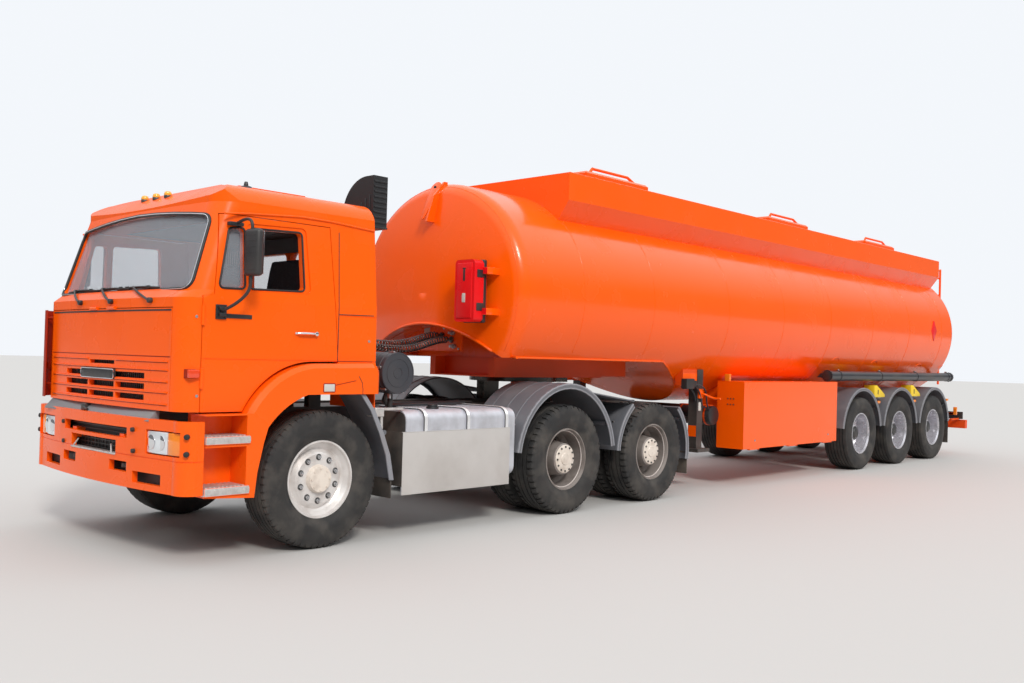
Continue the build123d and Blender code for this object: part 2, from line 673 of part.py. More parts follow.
def build_cab():
    """Cut the cab's shell into its real panels and write them."""
    outer = cab_solid(0)
    inner = cab_solid(CAB_WALL)
    wall = outer - inner
    cavity = inner & block((-1300, 1300), (-1400, 700), (CAB_FLOOR + CAB_FLOOR_THICKNESS, HEADER_Z))
    under = inner & block((-1300, 1300), (-1400, 700), (1000, CAB_FLOOR))
    skin = outer - cavity - under
    skin -= both(side_prism(flare_cut(0), FLARE_INNER_X, 1300))
    skin -= block((-640, 640), (-700, 600), (1000, CAB_FLOOR))

    door_hinges = [hinge("Z", (DOOR_HINGE_X, DOOR_FRONT_Y, z), DOOR_HINGE) for z in DOOR_HINGE_ZS]
    lid_hinges = [hinge("X", (x, LID_HINGE_Y, LID_HINGE_Z), LID_HINGE) for x in LID_HINGE_XS]
    lid = build_lid(outer, lid_hinges)
    door = build_door(wall, door_hinges)

    lid_gap = block((-LID_HALF_WIDTH - DOOR_GAP, LID_HALF_WIDTH + DOOR_GAP), (-1300, -1060),
                    (900, LID_Z[1] + DOOR_GAP))
    sill = CAB_FLOOR + CAB_FLOOR_THICKNESS
    floor_edge = CAB_HALF_WIDTH - CAB_WALL - DOOR_GAP
    door_gap = side_prism(door_outline(DOOR_GAP), DOOR_INNER_X - DOOR_GAP, 1300)
    door_gap -= block((800, floor_edge), (DOOR_PILLAR_Y + 10, 700), (900, sill))
    bulkhead = inner - cab_solid(CAB_WALL + BULKHEAD_THICKNESS)
    bulkhead &= block((-1060, 1060), (-1300, DOOR_FRONT_Y - 20), (CAB_FLOOR, BELT_Z))
    shell = skin - lid_gap - both(door_gap) + bulkhead
    for x, z in BUFFER_PLACES:
        shell += rod("Y", (x, -1150, z), BUFFER_RADIUS, 90) & (cab_solid(LID_THICKNESS + SEAT_GAP) - inner)
    shell -= front_cut(screen_face(0), -1400, -600)
    for face in rear_faces(0):
        shell -= front_cut(face, 300, 700)
    for _, fixed, room, _ in lid_hinges:
        shell = shell - room + fixed
    for _, fixed, room, _ in door_hinges:
        shell = shell - both(room) + both(fixed)
    for route in HOSE_ROUTES:
        x, y, z = route[0]
        shell += rod("Y", (x, y - GLAND_LENGTH, z), GLAND_RADIUS, 2 * GLAND_LENGTH)
    for groove in side_seams():
        shell -= both(groove)
        door -= groove

    glass_skin = cab_solid(GLASS_INSET) - cab_solid(GLASS_INSET + GLASS_THICKNESS)
    screen = glass_skin & front_cut(screen_face(-SEAT_GAP), -1400, -600)
    rear_glass = [glass_skin & front_cut(face, 300, 700) for face in rear_faces(-SEAT_GAP)]
    quarter = glass_skin & window_prism(QUARTER_LIGHT, 35, 900, 1300, -SEAT_GAP)
    pane = glass_skin & window_prism(DOOR_WINDOW, 35, 900, 1300, -SEAT_GAP)

    roof = roof_shape(0) - roof_shape(CAB_WALL)
    hatch = Pos(0, 60, ROOF_CROWN_Z + 10) * Box(560, 640, 60)
    roof = roof + (hatch - roof_shape(CAB_WALL))

    write("cab_shell", shell)
    write("cab_roof", roof)
    write("cab_glass", [screen, *rear_glass])
    write("front_panel", lid)
    write("door_left", door)
    write("door_right", mirror(door, about=Plane.YZ))
    write("door_glass_left", quarter)
    write("door_glass_right", [mirror(quarter, about=Plane.YZ), mirror(pane, about=Plane.YZ)])


def cab_interior():
    """Two seats, the dashboard and the steering wheel."""
    pieces = []
    for x in (-520, 520):
        pieces.append(block((x - 240, x + 240), (-420, 80), (1480, 1600)))
        back = Pos(x, 90, 1900) * Rot(-8, 0, 0) * Box(460, 110, 640)
        pieces.append(back)
        pieces.append(block((x - 180, x + 180), (-350, 20), (1300, 1480)))
    dash = block((-1200, 1200), (-1300, -820), (1580, 1820)) + block((-1200, 1200), (-1300, -960), (1300, 1580))
    dash = dash & cab_solid(CAB_WALL + BULKHEAD_THICKNESS)
    wheel = Pos(520, -640, 1830) * Rot(-60, 0, 0) * Torus(225, 16)
    column = Pos(520, -740, 1775) * Rot(-60, 0, 0) * Cylinder(24, 240)
    for turn in (90, 210, 330):
        spoke = Rot(0, 0, turn) * Pos(112, 0, 0) * Box(226, 22, 12)
        column += Pos(520, -640, 1830) * Rot(-60, 0, 0) * spoke
    column -= wheel
    return pieces + [dash, wheel, column]


# Openings in the bumper, as x from, x to, z from, z to; each is cut on both sides, the headlamp first
BUMPER_OPENINGS = [
    (780, 1185, 760, 930),
    (-530, 530, 850, 925),
    (-380, 380, 715, 825),
    (290, 540, 606, 680),
    (620, 970, 545, 625),
]
BUMPER_SEAM_Z = 732


def bumper():
    """Bowed bumper with its lamp, grille, tow and fog lamp openings."""
    half = BODY_HALF_WIDTH
    front = -FRONT_OVERHANG

    def outline(inset):
        y0 = front + inset
        side = half - inset
        a = (side - 150, y0 + 75)
        b = (side, y0 + 165)
        bend = (side - 34, y0 + 102)
        return [
            ThreePointArc((-a[0], a[1]), (0, y0), a),
            ThreePointArc(a, bend, b),
            Line(b, (side, BUMPER_REAR_Y)),
            Line((side, BUMPER_REAR_Y), (-side, BUMPER_REAR_Y)),
            Line((-side, BUMPER_REAR_Y), (-b[0], b[1])),
            ThreePointArc((-b[0], b[1]), (-bend[0], bend[1]), (-a[0], a[1])),
        ]

    body = plan_prism(outline(0), *BUMPER_Z) - plan_prism(outline(BUMPER_THICKNESS), *BUMPER_Z)
    seam = (BUMPER_SEAM_Z - SEAM_WIDTH / 2, BUMPER_SEAM_Z + SEAM_WIDTH / 2)
    body -= plan_prism(outline(0), *seam) - plan_prism(outline(SEAM_DEPTH), *seam)
    for x0, x1, z0, z1 in BUMPER_OPENINGS:
        cut = block((x0, x1), (front - 20, front + 200), (z0, z1))
        body -= both(cut)
    brackets = [block((RAIL_X - 35, RAIL_X + 35), (-1228, FRAME_FRONT), (790, 870))]
    for piece in brackets:
        body += both(piece)
    return body


MARKER_THICKNESS = 22


def lamps():
    """Headlamps with their indicators, side lamps and the amber lamps on the roof."""
    pieces = []
    for sign in (-1, 1):
        (x0, x1, z0, z1), gap = BUMPER_OPENINGS[0], SEAT_GAP
        x = tuple(sorted((sign * (x0 + gap), sign * (x1 - gap))))
        lamp = block(x, (-1225, -1120), (z0 + gap, z1 - gap))
        pieces.append(lamp)
    marker = block((1118, 1300), (-1133, -1055), (1298, 1364)) & (cab_solid(-MARKER_THICKNESS) - cab_solid(-SEAT_GAP))
    pieces += both(marker)
    for x in (-135, 0, 135):
        pieces.append(Pos(x, -700, 2770) * Cylinder(30, 110) - roof_shape(0))
    return pieces


def arches():
    """Flare and step well on each side, in one moulding."""
    inner = ARCH_RADIUS
    top_y = sqrt(inner ** 2 - (FLARE_UNDERSIDE_Z - AXLE_Z) ** 2)
    low_z = 950
    low_y = sqrt(inner ** 2 - (low_z - AXLE_Z) ** 2)
    bend = radians(50)
    front, rear = DOOR_FRONT_Y, -642
    outline = flare_outline(0) + [
        Line((FLARE_REAR_Y, FLARE_UNDERSIDE_Z), (-top_y, FLARE_UNDERSIDE_Z)),
        ThreePointArc((-top_y, FLARE_UNDERSIDE_Z), (-inner * cos(bend), AXLE_Z + inner * sin(bend)),
                      (-low_y, low_z)),
        Line((-low_y, low_z), (-575, 840)),
        Line((-575, 840), (-622, 630)),
        Line((-622, 630), (rear, 455)),
        Line((rear, 455), (front, 480)),
        Line((front, 480), (front, STEP_TOP_Z)),
        Line((front, STEP_TOP_Z), (FLARE_FOOT_Y, STEP_TOP_Z)),
    ]
    flare = side_prism(outline, FLARE_INNER_X, BODY_HALF_WIDTH)
    flare = chamfer(flare.edges().filter_by(lambda e: e.center().X > BODY_HALF_WIDTH - 1 and e.center().Z > 1200
                                            and e.center().Z > FLARE_UNDERSIDE_Z + 30), 34)
    (upper_low, upper_high), (lower_low, lower_high) = STEP_TREADS
    well = (FLARE_INNER_X + 40, BODY_HALF_WIDTH + 10)
    flare -= block(well, (front - 5, -715), (lower_high, upper_low - 20))
    flare -= block(well, (front - 5, -715), (upper_high, STEP_TOP_Z - 10))
    treads = []
    for low, high in STEP_TREADS:
        treads.append(block((FLARE_INNER_X + 30, BODY_HALF_WIDTH + 12), (front - 3, -690), (low, high)))
    return flare, treads


def mirror_arm():
    """Left mirror: head, its two arms and the lower bracket."""
    head = Pos(1360, -775, 2188) * Rot(0, 0, 14) * Box(145, 60, 330)
    head = fillet(head.edges().filter_by(Axis.Z), 20)
    foot = block((CAB_HALF_WIDTH + SEAT_GAP, 1185), (-935, -865), (1720, 1815))
    path = FilletPolyline((1172, -900, 1770), (1335, -780, 1900), (1335, -770, 2405), (1149, -790, 2410), radius=45)
    arm = sweep(Plane(origin=path @ 0, z_dir=path % 0) * Circle(12), path)
    return head + foot + arm


def air_intake():
    """Snorkel behind the cab with its duct and the drum of the air cleaner."""
    head_outline = [
        Line((465, 2560), (885, 2560)),
        Line((885, 2560), (885, 3000)),
        Line((885, 3000), (795, 3000)),
        ThreePointArc((795, 3000), (555, 2900), (465, 2680)),
        Line((465, 2680), (465, 2560)),
    ]
    head = front_prism(head_outline, 640, 790)
    duct = block((600, 750), (640, 770), (1450, 2560))
    drum = rod("X", (780, 825, 1347), 172, 540)
    bracket = block((RAIL_X - 25, RAIL_X + 25), (800, 860), (RAIL_Z[1], 1370))
    bracket += block((RAIL_X, 530), (800, 860), (1310, 1370))
    foot = rod("Z", (950, 830, 1125), 22, 170)
    return head + duct + drum + bracket + foot


def fuel_tank():
    """Rounded tank on the left rail, its straps and its sheet steel shield."""
    z = (425, 1040)
    outer_x = BODY_HALF_WIDTH - 35
    rear_y = WHEELBASE - 745
    front_y = 790
    shield_x = (BODY_HALF_WIDTH - 25, BODY_HALF_WIDTH - 13)
    tank = block((530, outer_x), (front_y, rear_y), z)
    tank = fillet(tank.edges().filter_by(Axis.Y), 90)
    for share in (0.16, 0.54, 0.91):
        y = front_y + share * (rear_y - front_y)
        band = block((522, outer_x + 10), (y - 25, y + 25), (z[0] - 8, z[1] + 8))
        tank += fillet(band.edges().filter_by(Axis.Y), 95)
    shield = block(shield_x, (front_y - 50, rear_y - 85), (355, 865))
    shield += block((800, shield_x[1]), (front_y - 50, front_y - 38), (425, 865))
    for y in (front_y + 210, rear_y - 115):
        tank += block((RAIL_X + RAIL_WIDTH / 2, 560), (y - 40, y + 40), (820, 960))
    return tank + shield


def air_tanks():
    """Battery box and two air reservoirs on the right rail."""
    box = block((-1180, -560), (800, 1380), (480, 1020))
    arm = block((-600, -RAIL_X - RAIL_WIDTH / 2), (900, 1000), (820, 960))
    pieces = [box + arm]
    for x, z in ((-720, 640), (-1030, 640)):
        pieces.append(rod("Y", (x, 1740, z), 130, 660))
    bracket = block((-1180, -RAIL_X - RAIL_WIDTH / 2), (1710, 1770), (760, 840))
    pieces = [pieces[0], pieces[1] + pieces[2] + bracket]
    return pieces


def mudguards():
    """Strips behind the front wheels and the plastic arches over the drive wheels."""
    low, high = DRIVE_AXLES
    wide = BODY_HALF_WIDTH
    curve = [
        ThreePointArc((335, FLARE_UNDERSIDE_Z), (530, 866), (650, 480)),
        Line((650, 480), (662, 480)),
        ThreePointArc((662, 480), (542, 870), (347, FLARE_UNDERSIDE_Z)),
        Line((347, FLARE_UNDERSIDE_Z), (335, FLARE_UNDERSIDE_Z)),
    ]
    strip = side_prism(curve, 880, GUARD_OUTER_X) + rod("X", ((RAIL_X + RAIL_WIDTH / 2 + 1200) / 2, 575, 870),
                                                       20, 1200 - RAIL_X - RAIL_WIDTH / 2)
    first = guard_arc(low, FIRST_GUARD_RADIUS, 172, 8)
    first += stay(low, FIRST_GUARD_RADIUS - 18, 152, 1200) + stay(low, FIRST_GUARD_RADIUS - 18, 28, 1200)
    middle = guard_arc(high, SECOND_GUARD_RADIUS, 176, 128)
    middle += stay(high, SECOND_GUARD_RADIUS - 18, 150, 1200)
    deck = corners((low + 350, 1165), (high - 390, 1074), (high - 390, 1086), (low + 350, 1177))
    middle += side_prism(deck, 600, wide)
    middle -= ring_strip((low, AXLE_Z), 600, FIRST_GUARD_RADIUS + GUARD_THICKNESS - 600, 90, 8, 500, wide + 10)
    last = guard_arc(high, SECOND_GUARD_RADIUS, 46, -10)
    last += stay(high, SECOND_GUARD_RADIUS - 18, 32, 1200)
    flap = block((620, wide - 20), (high + SECOND_GUARD_RADIUS, high + SECOND_GUARD_RADIUS + 10), (255, 500))
    return [side for piece in (strip, first, middle, last + flap) for side in both(piece)]


def guard_arc(y, radius, start, end):
    """Arched guard over a wheel, with a turned-down edge along its outer side."""
    outer = BODY_HALF_WIDTH
    arc = ring_strip((y, AXLE_Z), radius, GUARD_THICKNESS, start, end, GUARD_INNER_X, outer)
    return arc + ring_strip((y, AXLE_Z), radius - 36, 40, start, end, outer - GUARD_THICKNESS, outer)


def stay(y, radius, angle, reach):
    """Tube from the frame rail out under a guard, at an angle round its axle."""
    place = (y + radius * cos(radians(angle)), AXLE_Z + radius * sin(radians(angle)))
    start = RAIL_X + RAIL_WIDTH / 2
    return rod("X", ((start + reach) / 2, *place), 20, reach - start)


def fifth_wheel():
    """Coupling plate with its slot, on two brackets over the rails."""
    thickness = 50
    z = (FIFTH_WHEEL_TOP_Z - thickness, FIFTH_WHEEL_TOP_Z)
    plate = Pos(0, KINGPIN_Y, sum(z) / 2) * Cylinder(480, thickness)
    plate += block((-400, 400), (KINGPIN_Y, KINGPIN_Y + 450), z)
    throat = corners((-28, KINGPIN_Y), (28, KINGPIN_Y), (190, KINGPIN_Y + 500), (-190, KINGPIN_Y + 500))
    plate -= plan_prism(throat, z[0] - 5, z[1] + 5)
    plate -= rod("Z", (0, KINGPIN_Y, sum(z) / 2), KINGPIN_RADIUS + SEAT_GAP, thickness + 10)
    for sign in (-1, 1):
        x = sorted((sign * 330, sign * 440))
        plate += block(tuple(x), (KINGPIN_Y - 120, KINGPIN_Y + 120), (RAIL_Z[1], z[0]))
    return plate


# Semi-trailer


def tank_oval():
    """Outline of the tank's section in (x, z): two side arcs and two flatter arcs, tangent to each other."""
    a, b, z = TANK_HALF_WIDTH, TANK_HALF_HEIGHT, TANK_CENTRE_Z
    centre_x = a - TANK_SIDE_RADIUS
    flat_radius = (centre_x ** 2 + b ** 2 - TANK_SIDE_RADIUS ** 2) / (2 * (b - TANK_SIDE_RADIUS))
    reach = flat_radius / (flat_radius - TANK_SIDE_RADIUS)
    x = centre_x * reach
    rise = (flat_radius - b) * (reach - 1)
    return [
        ThreePointArc((-x, z + rise), (0, z + b), (x, z + rise)),
        ThreePointArc((x, z + rise), (a, z), (x, z - rise)),
        ThreePointArc((x, z - rise), (0, z - b), (-x, z - rise)),
        ThreePointArc((-x, z - rise), (-a, z), (-x, z + rise)),
    ]


def head_cap():
    """Solid of revolution about Y with a dished face at y = 0, wider than the tank."""
    wide = 1500
    sag = HEAD_CROWN_RADIUS - sqrt(HEAD_CROWN_RADIUS ** 2 - wide ** 2)
    half_sag = HEAD_CROWN_RADIUS - sqrt(HEAD_CROWN_RADIUS ** 2 - (wide / 2) ** 2)
    outline = [
        Line((0, 0), (0, HEAD_CAP_DEPTH)),
        Line((0, HEAD_CAP_DEPTH), (wide, HEAD_CAP_DEPTH)),
        Line((wide, HEAD_CAP_DEPTH), (wide, sag)),
        ThreePointArc((wide, sag), (wide / 2, half_sag), (0, 0)),
    ]
    return revolve(make_face(outline), Axis.Y)


def tank_shell():
    """The tank with dished ends, raised front underside, arch and sloped transition."""
    body = front_prism(tank_oval(), TANK_FRONT_Y, TANK_REAR_Y)
    front = Pos(0, TANK_FRONT_Y, TANK_CENTRE_Z) * head_cap()
    rear = Pos(0, TANK_REAR_Y, TANK_CENTRE_Z) * Rot(0, 0, 180) * head_cap()
    middle = block((-1500, 1500), (TANK_FRONT_Y + HEAD_CAP_DEPTH - 1, TANK_REAR_Y - HEAD_CAP_DEPTH + 1), (500, 3700))
    body &= front + middle + rear
    ends = [edge for edge in body.edges() if abs(edge.center().Y - (TANK_FRONT_Y + TANK_REAR_Y) / 2) > 5300]
    body = fillet(ends, HEAD_KNUCKLE_RADIUS)
    under = corners((TANK_FRONT_Y - 100, 900), (SLOPE_END_Y, 900), (SLOPE_END_Y, 1000),
                    (SLOPE_START_Y, SKIRT_Z), (TANK_FRONT_Y - 100, SKIRT_Z))
    body -= side_prism(under, -1300, 1300)
    arch = [
        ThreePointArc((-950, SKIRT_Z - 1), (0, 1812), (950, SKIRT_Z - 1)),
        Line((950, SKIRT_Z - 1), (-950, SKIRT_Z - 1)),
    ]
    body -= front_prism(arch, TANK_FRONT_Y - 100, ARCH_BACK_Y)
    return body + outlet_pipe()


def outlet_pipe():
    """Outlet from the tank's lowest point to a flange that faces the rear."""
    elbow_y = OUTLET_ELBOW_Y
    pipe_radius = OUTLET_BORE_RADIUS + 8
    low = TANK_CENTRE_Z - TANK_HALF_HEIGHT
    pipe = rod("Z", (0, elbow_y, (low + 15 + OUTLET_Z) / 2), pipe_radius, low + 15 - OUTLET_Z)
    pipe += Pos(0, elbow_y, OUTLET_Z) * Sphere(pipe_radius)
    pipe += rod("Y", (0, (elbow_y + OUTLET_FACE_Y) / 2, OUTLET_Z), pipe_radius, OUTLET_FACE_Y - elbow_y)
    face = OUTLET_FACE_Y - FLANGE_DISC_THICKNESS / 2
    pipe += rod("Y", (0, face, OUTLET_Z), FLANGE_DISC_RADIUS, FLANGE_DISC_THICKNESS)
    bore_y = OUTLET_FACE_Y - OUTLET_BORE_LENGTH / 2
    pipe -= rod("Y", (0, bore_y, OUTLET_Z), OUTLET_BORE_RADIUS, OUTLET_BORE_LENGTH)
    for n in range(FLANGE_BOLTS):
        turn = radians(360 * (n + 0.5) / FLANGE_BOLTS)
        place = (FLANGE_BOLT_CIRCLE / 2 * cos(turn), face, OUTLET_Z + FLANGE_BOLT_CIRCLE / 2 * sin(turn))
        pipe -= rod("Y", place, FLANGE_HOLE_RADIUS, FLANGE_DISC_THICKNESS + 10)
    return pipe


def top_boards(tank):
    """Kinked boards along both sides of the tank's top, closed by boards at the ends."""
    t = BOARD_THICKNESS
    base_z = 2780
    profile = [(BOARD_BASE_X, base_z), (BOARD_BASE_X, 2900), (BOARD_KINK_X, BOARD_KINK_Z),
               (BOARD_KINK_X, BOARD_TOP_Z), (BOARD_KINK_X - t, BOARD_TOP_Z),
               (BOARD_KINK_X - t, BOARD_KINK_Z + 4), (BOARD_BASE_X - t, 2904), (BOARD_BASE_X - t, base_z)]
    side = front_prism(corners(*profile), BOARD_FRONT_Y, BOARD_REAR_Y)
    across = [(-BOARD_BASE_X, base_z), (BOARD_BASE_X, base_z), (BOARD_BASE_X, 2900), (BOARD_KINK_X, BOARD_KINK_Z),
              (BOARD_KINK_X, BOARD_TOP_Z), (-BOARD_KINK_X, BOARD_TOP_Z), (-BOARD_KINK_X, BOARD_KINK_Z),
              (-BOARD_BASE_X, 2900)]
    boards = Part() + both(side)
    boards += front_prism(corners(*across), BOARD_FRONT_Y, BOARD_FRONT_Y + t)
    boards += front_prism(corners(*across), BOARD_REAR_Y - t, BOARD_REAR_Y)
    return boards - tank


def manhole_boxes(tank):
    """Boxes round the manholes, each with its guard rail."""
    pieces = []
    for y in MANHOLE_YS:
        box = block((-400, 400), (y - 560, y + 620), (3150, 3630))
        box = chamfer(box.faces().sort_by(Axis.Z)[-1].edges(), 25)
        box = box - tank
        path = Plane.YZ.offset(300) * (Polyline((y - 420, 3600), (y - 340, 3690), (y + 330, 3690), (y + 560, 3600)))
        rail = sweep(Plane(origin=path @ 0, z_dir=path % 0) * Circle(17), path, transition=Transition.ROUND)
        rail -= box
        pieces.append(box + rail)
    return pieces


def trailer_chassis(tank):
    """Kingpin plate, front rails, rear subframe, axles, springs and brackets."""
    plate_z = FIFTH_WHEEL_TOP_Z + COUPLING_GAP
    front = block((-480, 480), (2560, 4300), (plate_z, plate_z + 14))
    for sign in (-1, 1):
        x = tuple(sorted((sign * 400, sign * 480)))
        front += block(x, (2560, SLOPE_START_Y), (plate_z + 14, SKIRT_Z))
    front += block((-480, 480), (2700, ARCH_BACK_Y), (plate_z + 14, SKIRT_Z))
    front += rod("Z", (0, KINGPIN_Y, plate_z - 40), KINGPIN_RADIUS, 84)
    front += block(CONNECTOR_PLATE_X, CONNECTOR_PLATE_Y, CONNECTOR_PLATE_Z)
    for route in HOSE_ROUTES:
        x, y, z = route[-1]
        front += rod("Y", (x, y + GLAND_LENGTH / 2, z), GLAND_RADIUS, GLAND_LENGTH)
    rear = Part()
    for sign in (-1, 1):
        x = tuple(sorted(sign * edge for edge in TRAILER_RAIL_X))
        rear += block(x, TRAILER_RAIL_Y, TRAILER_RAIL_Z)
    middles = [(a + b) / 2 for a, b in zip(TRAILER_AXLES, TRAILER_AXLES[1:])]
    for y in (TRAILER_RAIL_Y[0] + 50, *middles, TRAILER_RAIL_Y[1] - 500):
        rear += block((-400, 400), (y - 40, y + 40), (860, 980))
    for y in TRAILER_AXLES:
        hub_face = TRAILER_WHEEL_X - TRAILER_HUB_DEPTH - SEAT_GAP
        rear += rod("X", (0, y, AXLE_Z), 65, 2 * hub_face)
        for sign in (-1, 1):
            rear += rod("X", (sign * (hub_face - 50), y, AXLE_Z), BRAKE_DRUM_RADIUS, 100)
        for sign in (-1, 1):
            x = tuple(sorted((sign * 400, sign * 480)))
            rear += block(x, (y - 560, y + 560), (AXLE_Z + 60, AXLE_Z + 120))
            rear += block(x, (y - 60, y + 60), (AXLE_Z + 120, 840))
            for end in (-560, 500):
                rear += block(x, (y + end, y + end + 60), (AXLE_Z + 60, 860))
    return [front - tank, rear + rear_guard() - tank, *[arm - tank for arm in leg_brackets()]]


def leg_brackets():
    """Posts that carry the landing legs, from the tank's underside."""
    post = block((LEG_X - 50, LEG_X + 50), (LEG_Y - 360, LEG_Y - 60), (1230, 1420))
    return both(post)


def landing_legs(tank):
    """Two square legs with feet, raised, and the shaft between them."""
    y = LEG_Y
    joined = block((60 - LEG_X, LEG_X - 60), (y - 25, y + 25), (800, 850))
    for x in (-LEG_X, LEG_X):
        joined += block((x - 60, x + 60), (y - 60, y + 60), (480, 1420))
        joined += block((x - 130, x + 130), (y - 130, y + 130), (440, 480))
    return joined - tank


def tool_box(tank):
    """Steel box on the left side and its drop-down door, hinged along its lower edge."""
    x, y, z = BOX_X, BOX_Y, BOX_Z
    wall = 10
    body = block(x, y, z) - block((x[0] + wall, x[1] + wall), (y[0] + wall, y[1] - wall), (z[0] + wall, z[1] - wall))
    body -= tank
    face = x[1] + SEAT_GAP
    door = block((face, face + BOX_DOOR_THICKNESS), y, z)
    radius, length = BOX_HINGE
    middle = (y[0] + y[1]) / 2
    for place in (middle - 1000, middle, middle + 1000):
        moving, fixed, _, _ = hinge("Y", (BOX_HINGE_X, place, BOX_HINGE_Z), BOX_HINGE)
        door += moving + block((BOX_HINGE_X - 5, BOX_HINGE_X + 1), (place - length / 2, place + length / 2),
                               (BOX_HINGE_Z, z[0]))
        body += fixed
        for side in (-1, 1):
            centre = place + side * (0.75 * length + SEAT_GAP)
            span = (centre - length / 4, centre + length / 4)
            body += block((x[1] - 20, BOX_HINGE_X), span, (BOX_HINGE_Z - radius, BOX_HINGE_Z))
            body += block((x[1] - 20, x[1] - 8), span, (BOX_HINGE_Z, z[0]))
    carrier = block((TRAILER_RAIL_X[1], x[0]), (y[1] - 60, y[1] - 20), (900, 980))
    carrier += block((300, x[0]), (y[0] + 260, y[0] + 300), (900, 1240))
    return body + (carrier - tank), door


def hose_tube(tank):
    """Tube for the hoses along the left side, with its caps and clamps."""
    x, z, r = HOSE_TUBE_X, HOSE_TUBE_Z, HOSE_TUBE_RADIUS
    low, high = HOSE_TUBE_Y
    tube = rod("Y", (x, (low + high) / 2, z), r, high - low)
    for y in (low + 15, high - 15):
        tube += rod("Y", (x, y, z), r + 8, 50)
    middles = [(a + b) / 2 for a, b in zip(TRAILER_AXLES, TRAILER_AXLES[1:])]
    for y in (low + 320, *middles, high - 150):
        tube += rod("Y", (x, y, z), r + 6, 36)
        tube += block((840, x - 40), (y - 18, y + 18), (z - 30, z + 30))
    return tube - tank


def curly_hose(route):
    """Fat tube that holds one curly hose: straight runs joined by arcs as large as the runs allow."""
    points = [Vector(*place) for place in route]
    radii = []
    for a, b, c in zip(points, points[1:], points[2:]):
        turn = radians((b - a).get_angle(c - b))
        shorter = min((b - a).length, (c - b).length)
        radii.append(0.45 * shorter * cos(turn / 2) / sin(turn / 2))
    print("hose radii", [round(radius) for radius in radii])
    path = FilletPolyline(*points, radius=radii)
    return sweep(Plane(origin=path @ 0, z_dir=path % 0) * Circle(HOSE_RADIUS), path)


def trailer_mudguards():
    """Three arches on each side of the trailer."""
    pieces = []
    for y in TRAILER_AXLES:
        arch = ring_strip((y, AXLE_Z), TRAILER_GUARD_RADIUS, 12, 172, 8, TRAILER_GUARD_INNER_X, BODY_HALF_WIDTH)
        arch += ring_strip((y, AXLE_Z), TRAILER_GUARD_RADIUS - 30, 34, 172, 8, BODY_HALF_WIDTH - 12, BODY_HALF_WIDTH)
        for angle in (145, 35):
            radius = TRAILER_GUARD_RADIUS - 16
            place = (y + radius * cos(radians(angle)), AXLE_Z + radius * sin(radians(angle)))
            arch += rod("X", ((TRAILER_RAIL_X[1] + 1200) / 2, *place), 18, 1200 - TRAILER_RAIL_X[1])
        pieces += both(arch)
    return pieces


def wheel_chocks():
    """Two wheel chocks in their holders between the left arches."""
    pieces = []
    for y in [(a + b) / 2 for a, b in zip(TRAILER_AXLES, TRAILER_AXLES[1:])]:
        wedge = corners((y - 190, 1050), (y + 190, 1050), (y + 190, 1090), (y - 100, 1230), (y - 190, 1230))
        holder = block((TRAILER_RAIL_X[1], 1190), (y - 60, y + 60), (1038, 1050))
        pieces.append(side_prism(wedge, 1030, 1190) + holder)
    return pieces


def extinguisher_box(tank):
    """Box with rounded edges on the front head, on two brackets."""
    box = block((635, 895), (1840, 2000), (1825, 2405))
    box = fillet(box.edges().filter_by(Axis.Y), 40)
    for z in (1925, 2305):
        box += block((835, 955), (1940, 2400), (z - 30, z + 30))
    return box - tank


def rear_guard():
    """Underrun bar on its stays."""
    bar = block((50 - BODY_HALF_WIDTH, BODY_HALF_WIDTH - 50), (REAR_REACH - 100, REAR_REACH), (450, 600))
    start = TRAILER_RAIL_Y[1]
    for sign in (-1, 1):
        x = tuple(sorted(sign * edge for edge in TRAILER_RAIL_X))
        bar += block(x, (start, REAR_REACH - 100), (500, 620))
        bar += block(x, (start, start + 80), (500, 1000))
    return bar


def rear_ladder(tank):
    """Ladder up the rear head, on the left."""
    ladder = Part()
    y = TANK_REAR_Y + 60
    for x in (500, 860):
        ladder += rod("Z", (x, y, 2260), 18, 2060)
        ladder += rod("Y", (x, (BOARD_REAR_Y + y + 8) / 2, 3266), 15, y + 8 - BOARD_REAR_Y)
    for n in range(7):
        ladder += rod("X", (680, y, 1330 + 300 * n), 14, 360)
    for x in (500, 860):
        for z in (1500, 2700):
            ladder += rod("Y", (x, y - 150, z), 14, 300)
    return ladder - tank


def lifting_lug(tank):
    """Lug on the front head."""
    lug = corners((1960, 2830), (2200, 2830), (2230, 3255), (2185, 3255), (2050, 3100))
    return side_prism(lug, 48, 72) - tank


def valves(tank):
    """Vent valves on the tank's top, ahead of the second and third manhole boxes."""
    pieces = []
    for y in MANHOLE_YS[1:]:
        valve = rod("Z", (0, y - 800, 3300), 60, 160) + rod("Z", (0, y - 800, 3390), 85, 40)
        pieces.append(valve - tank)
    return pieces


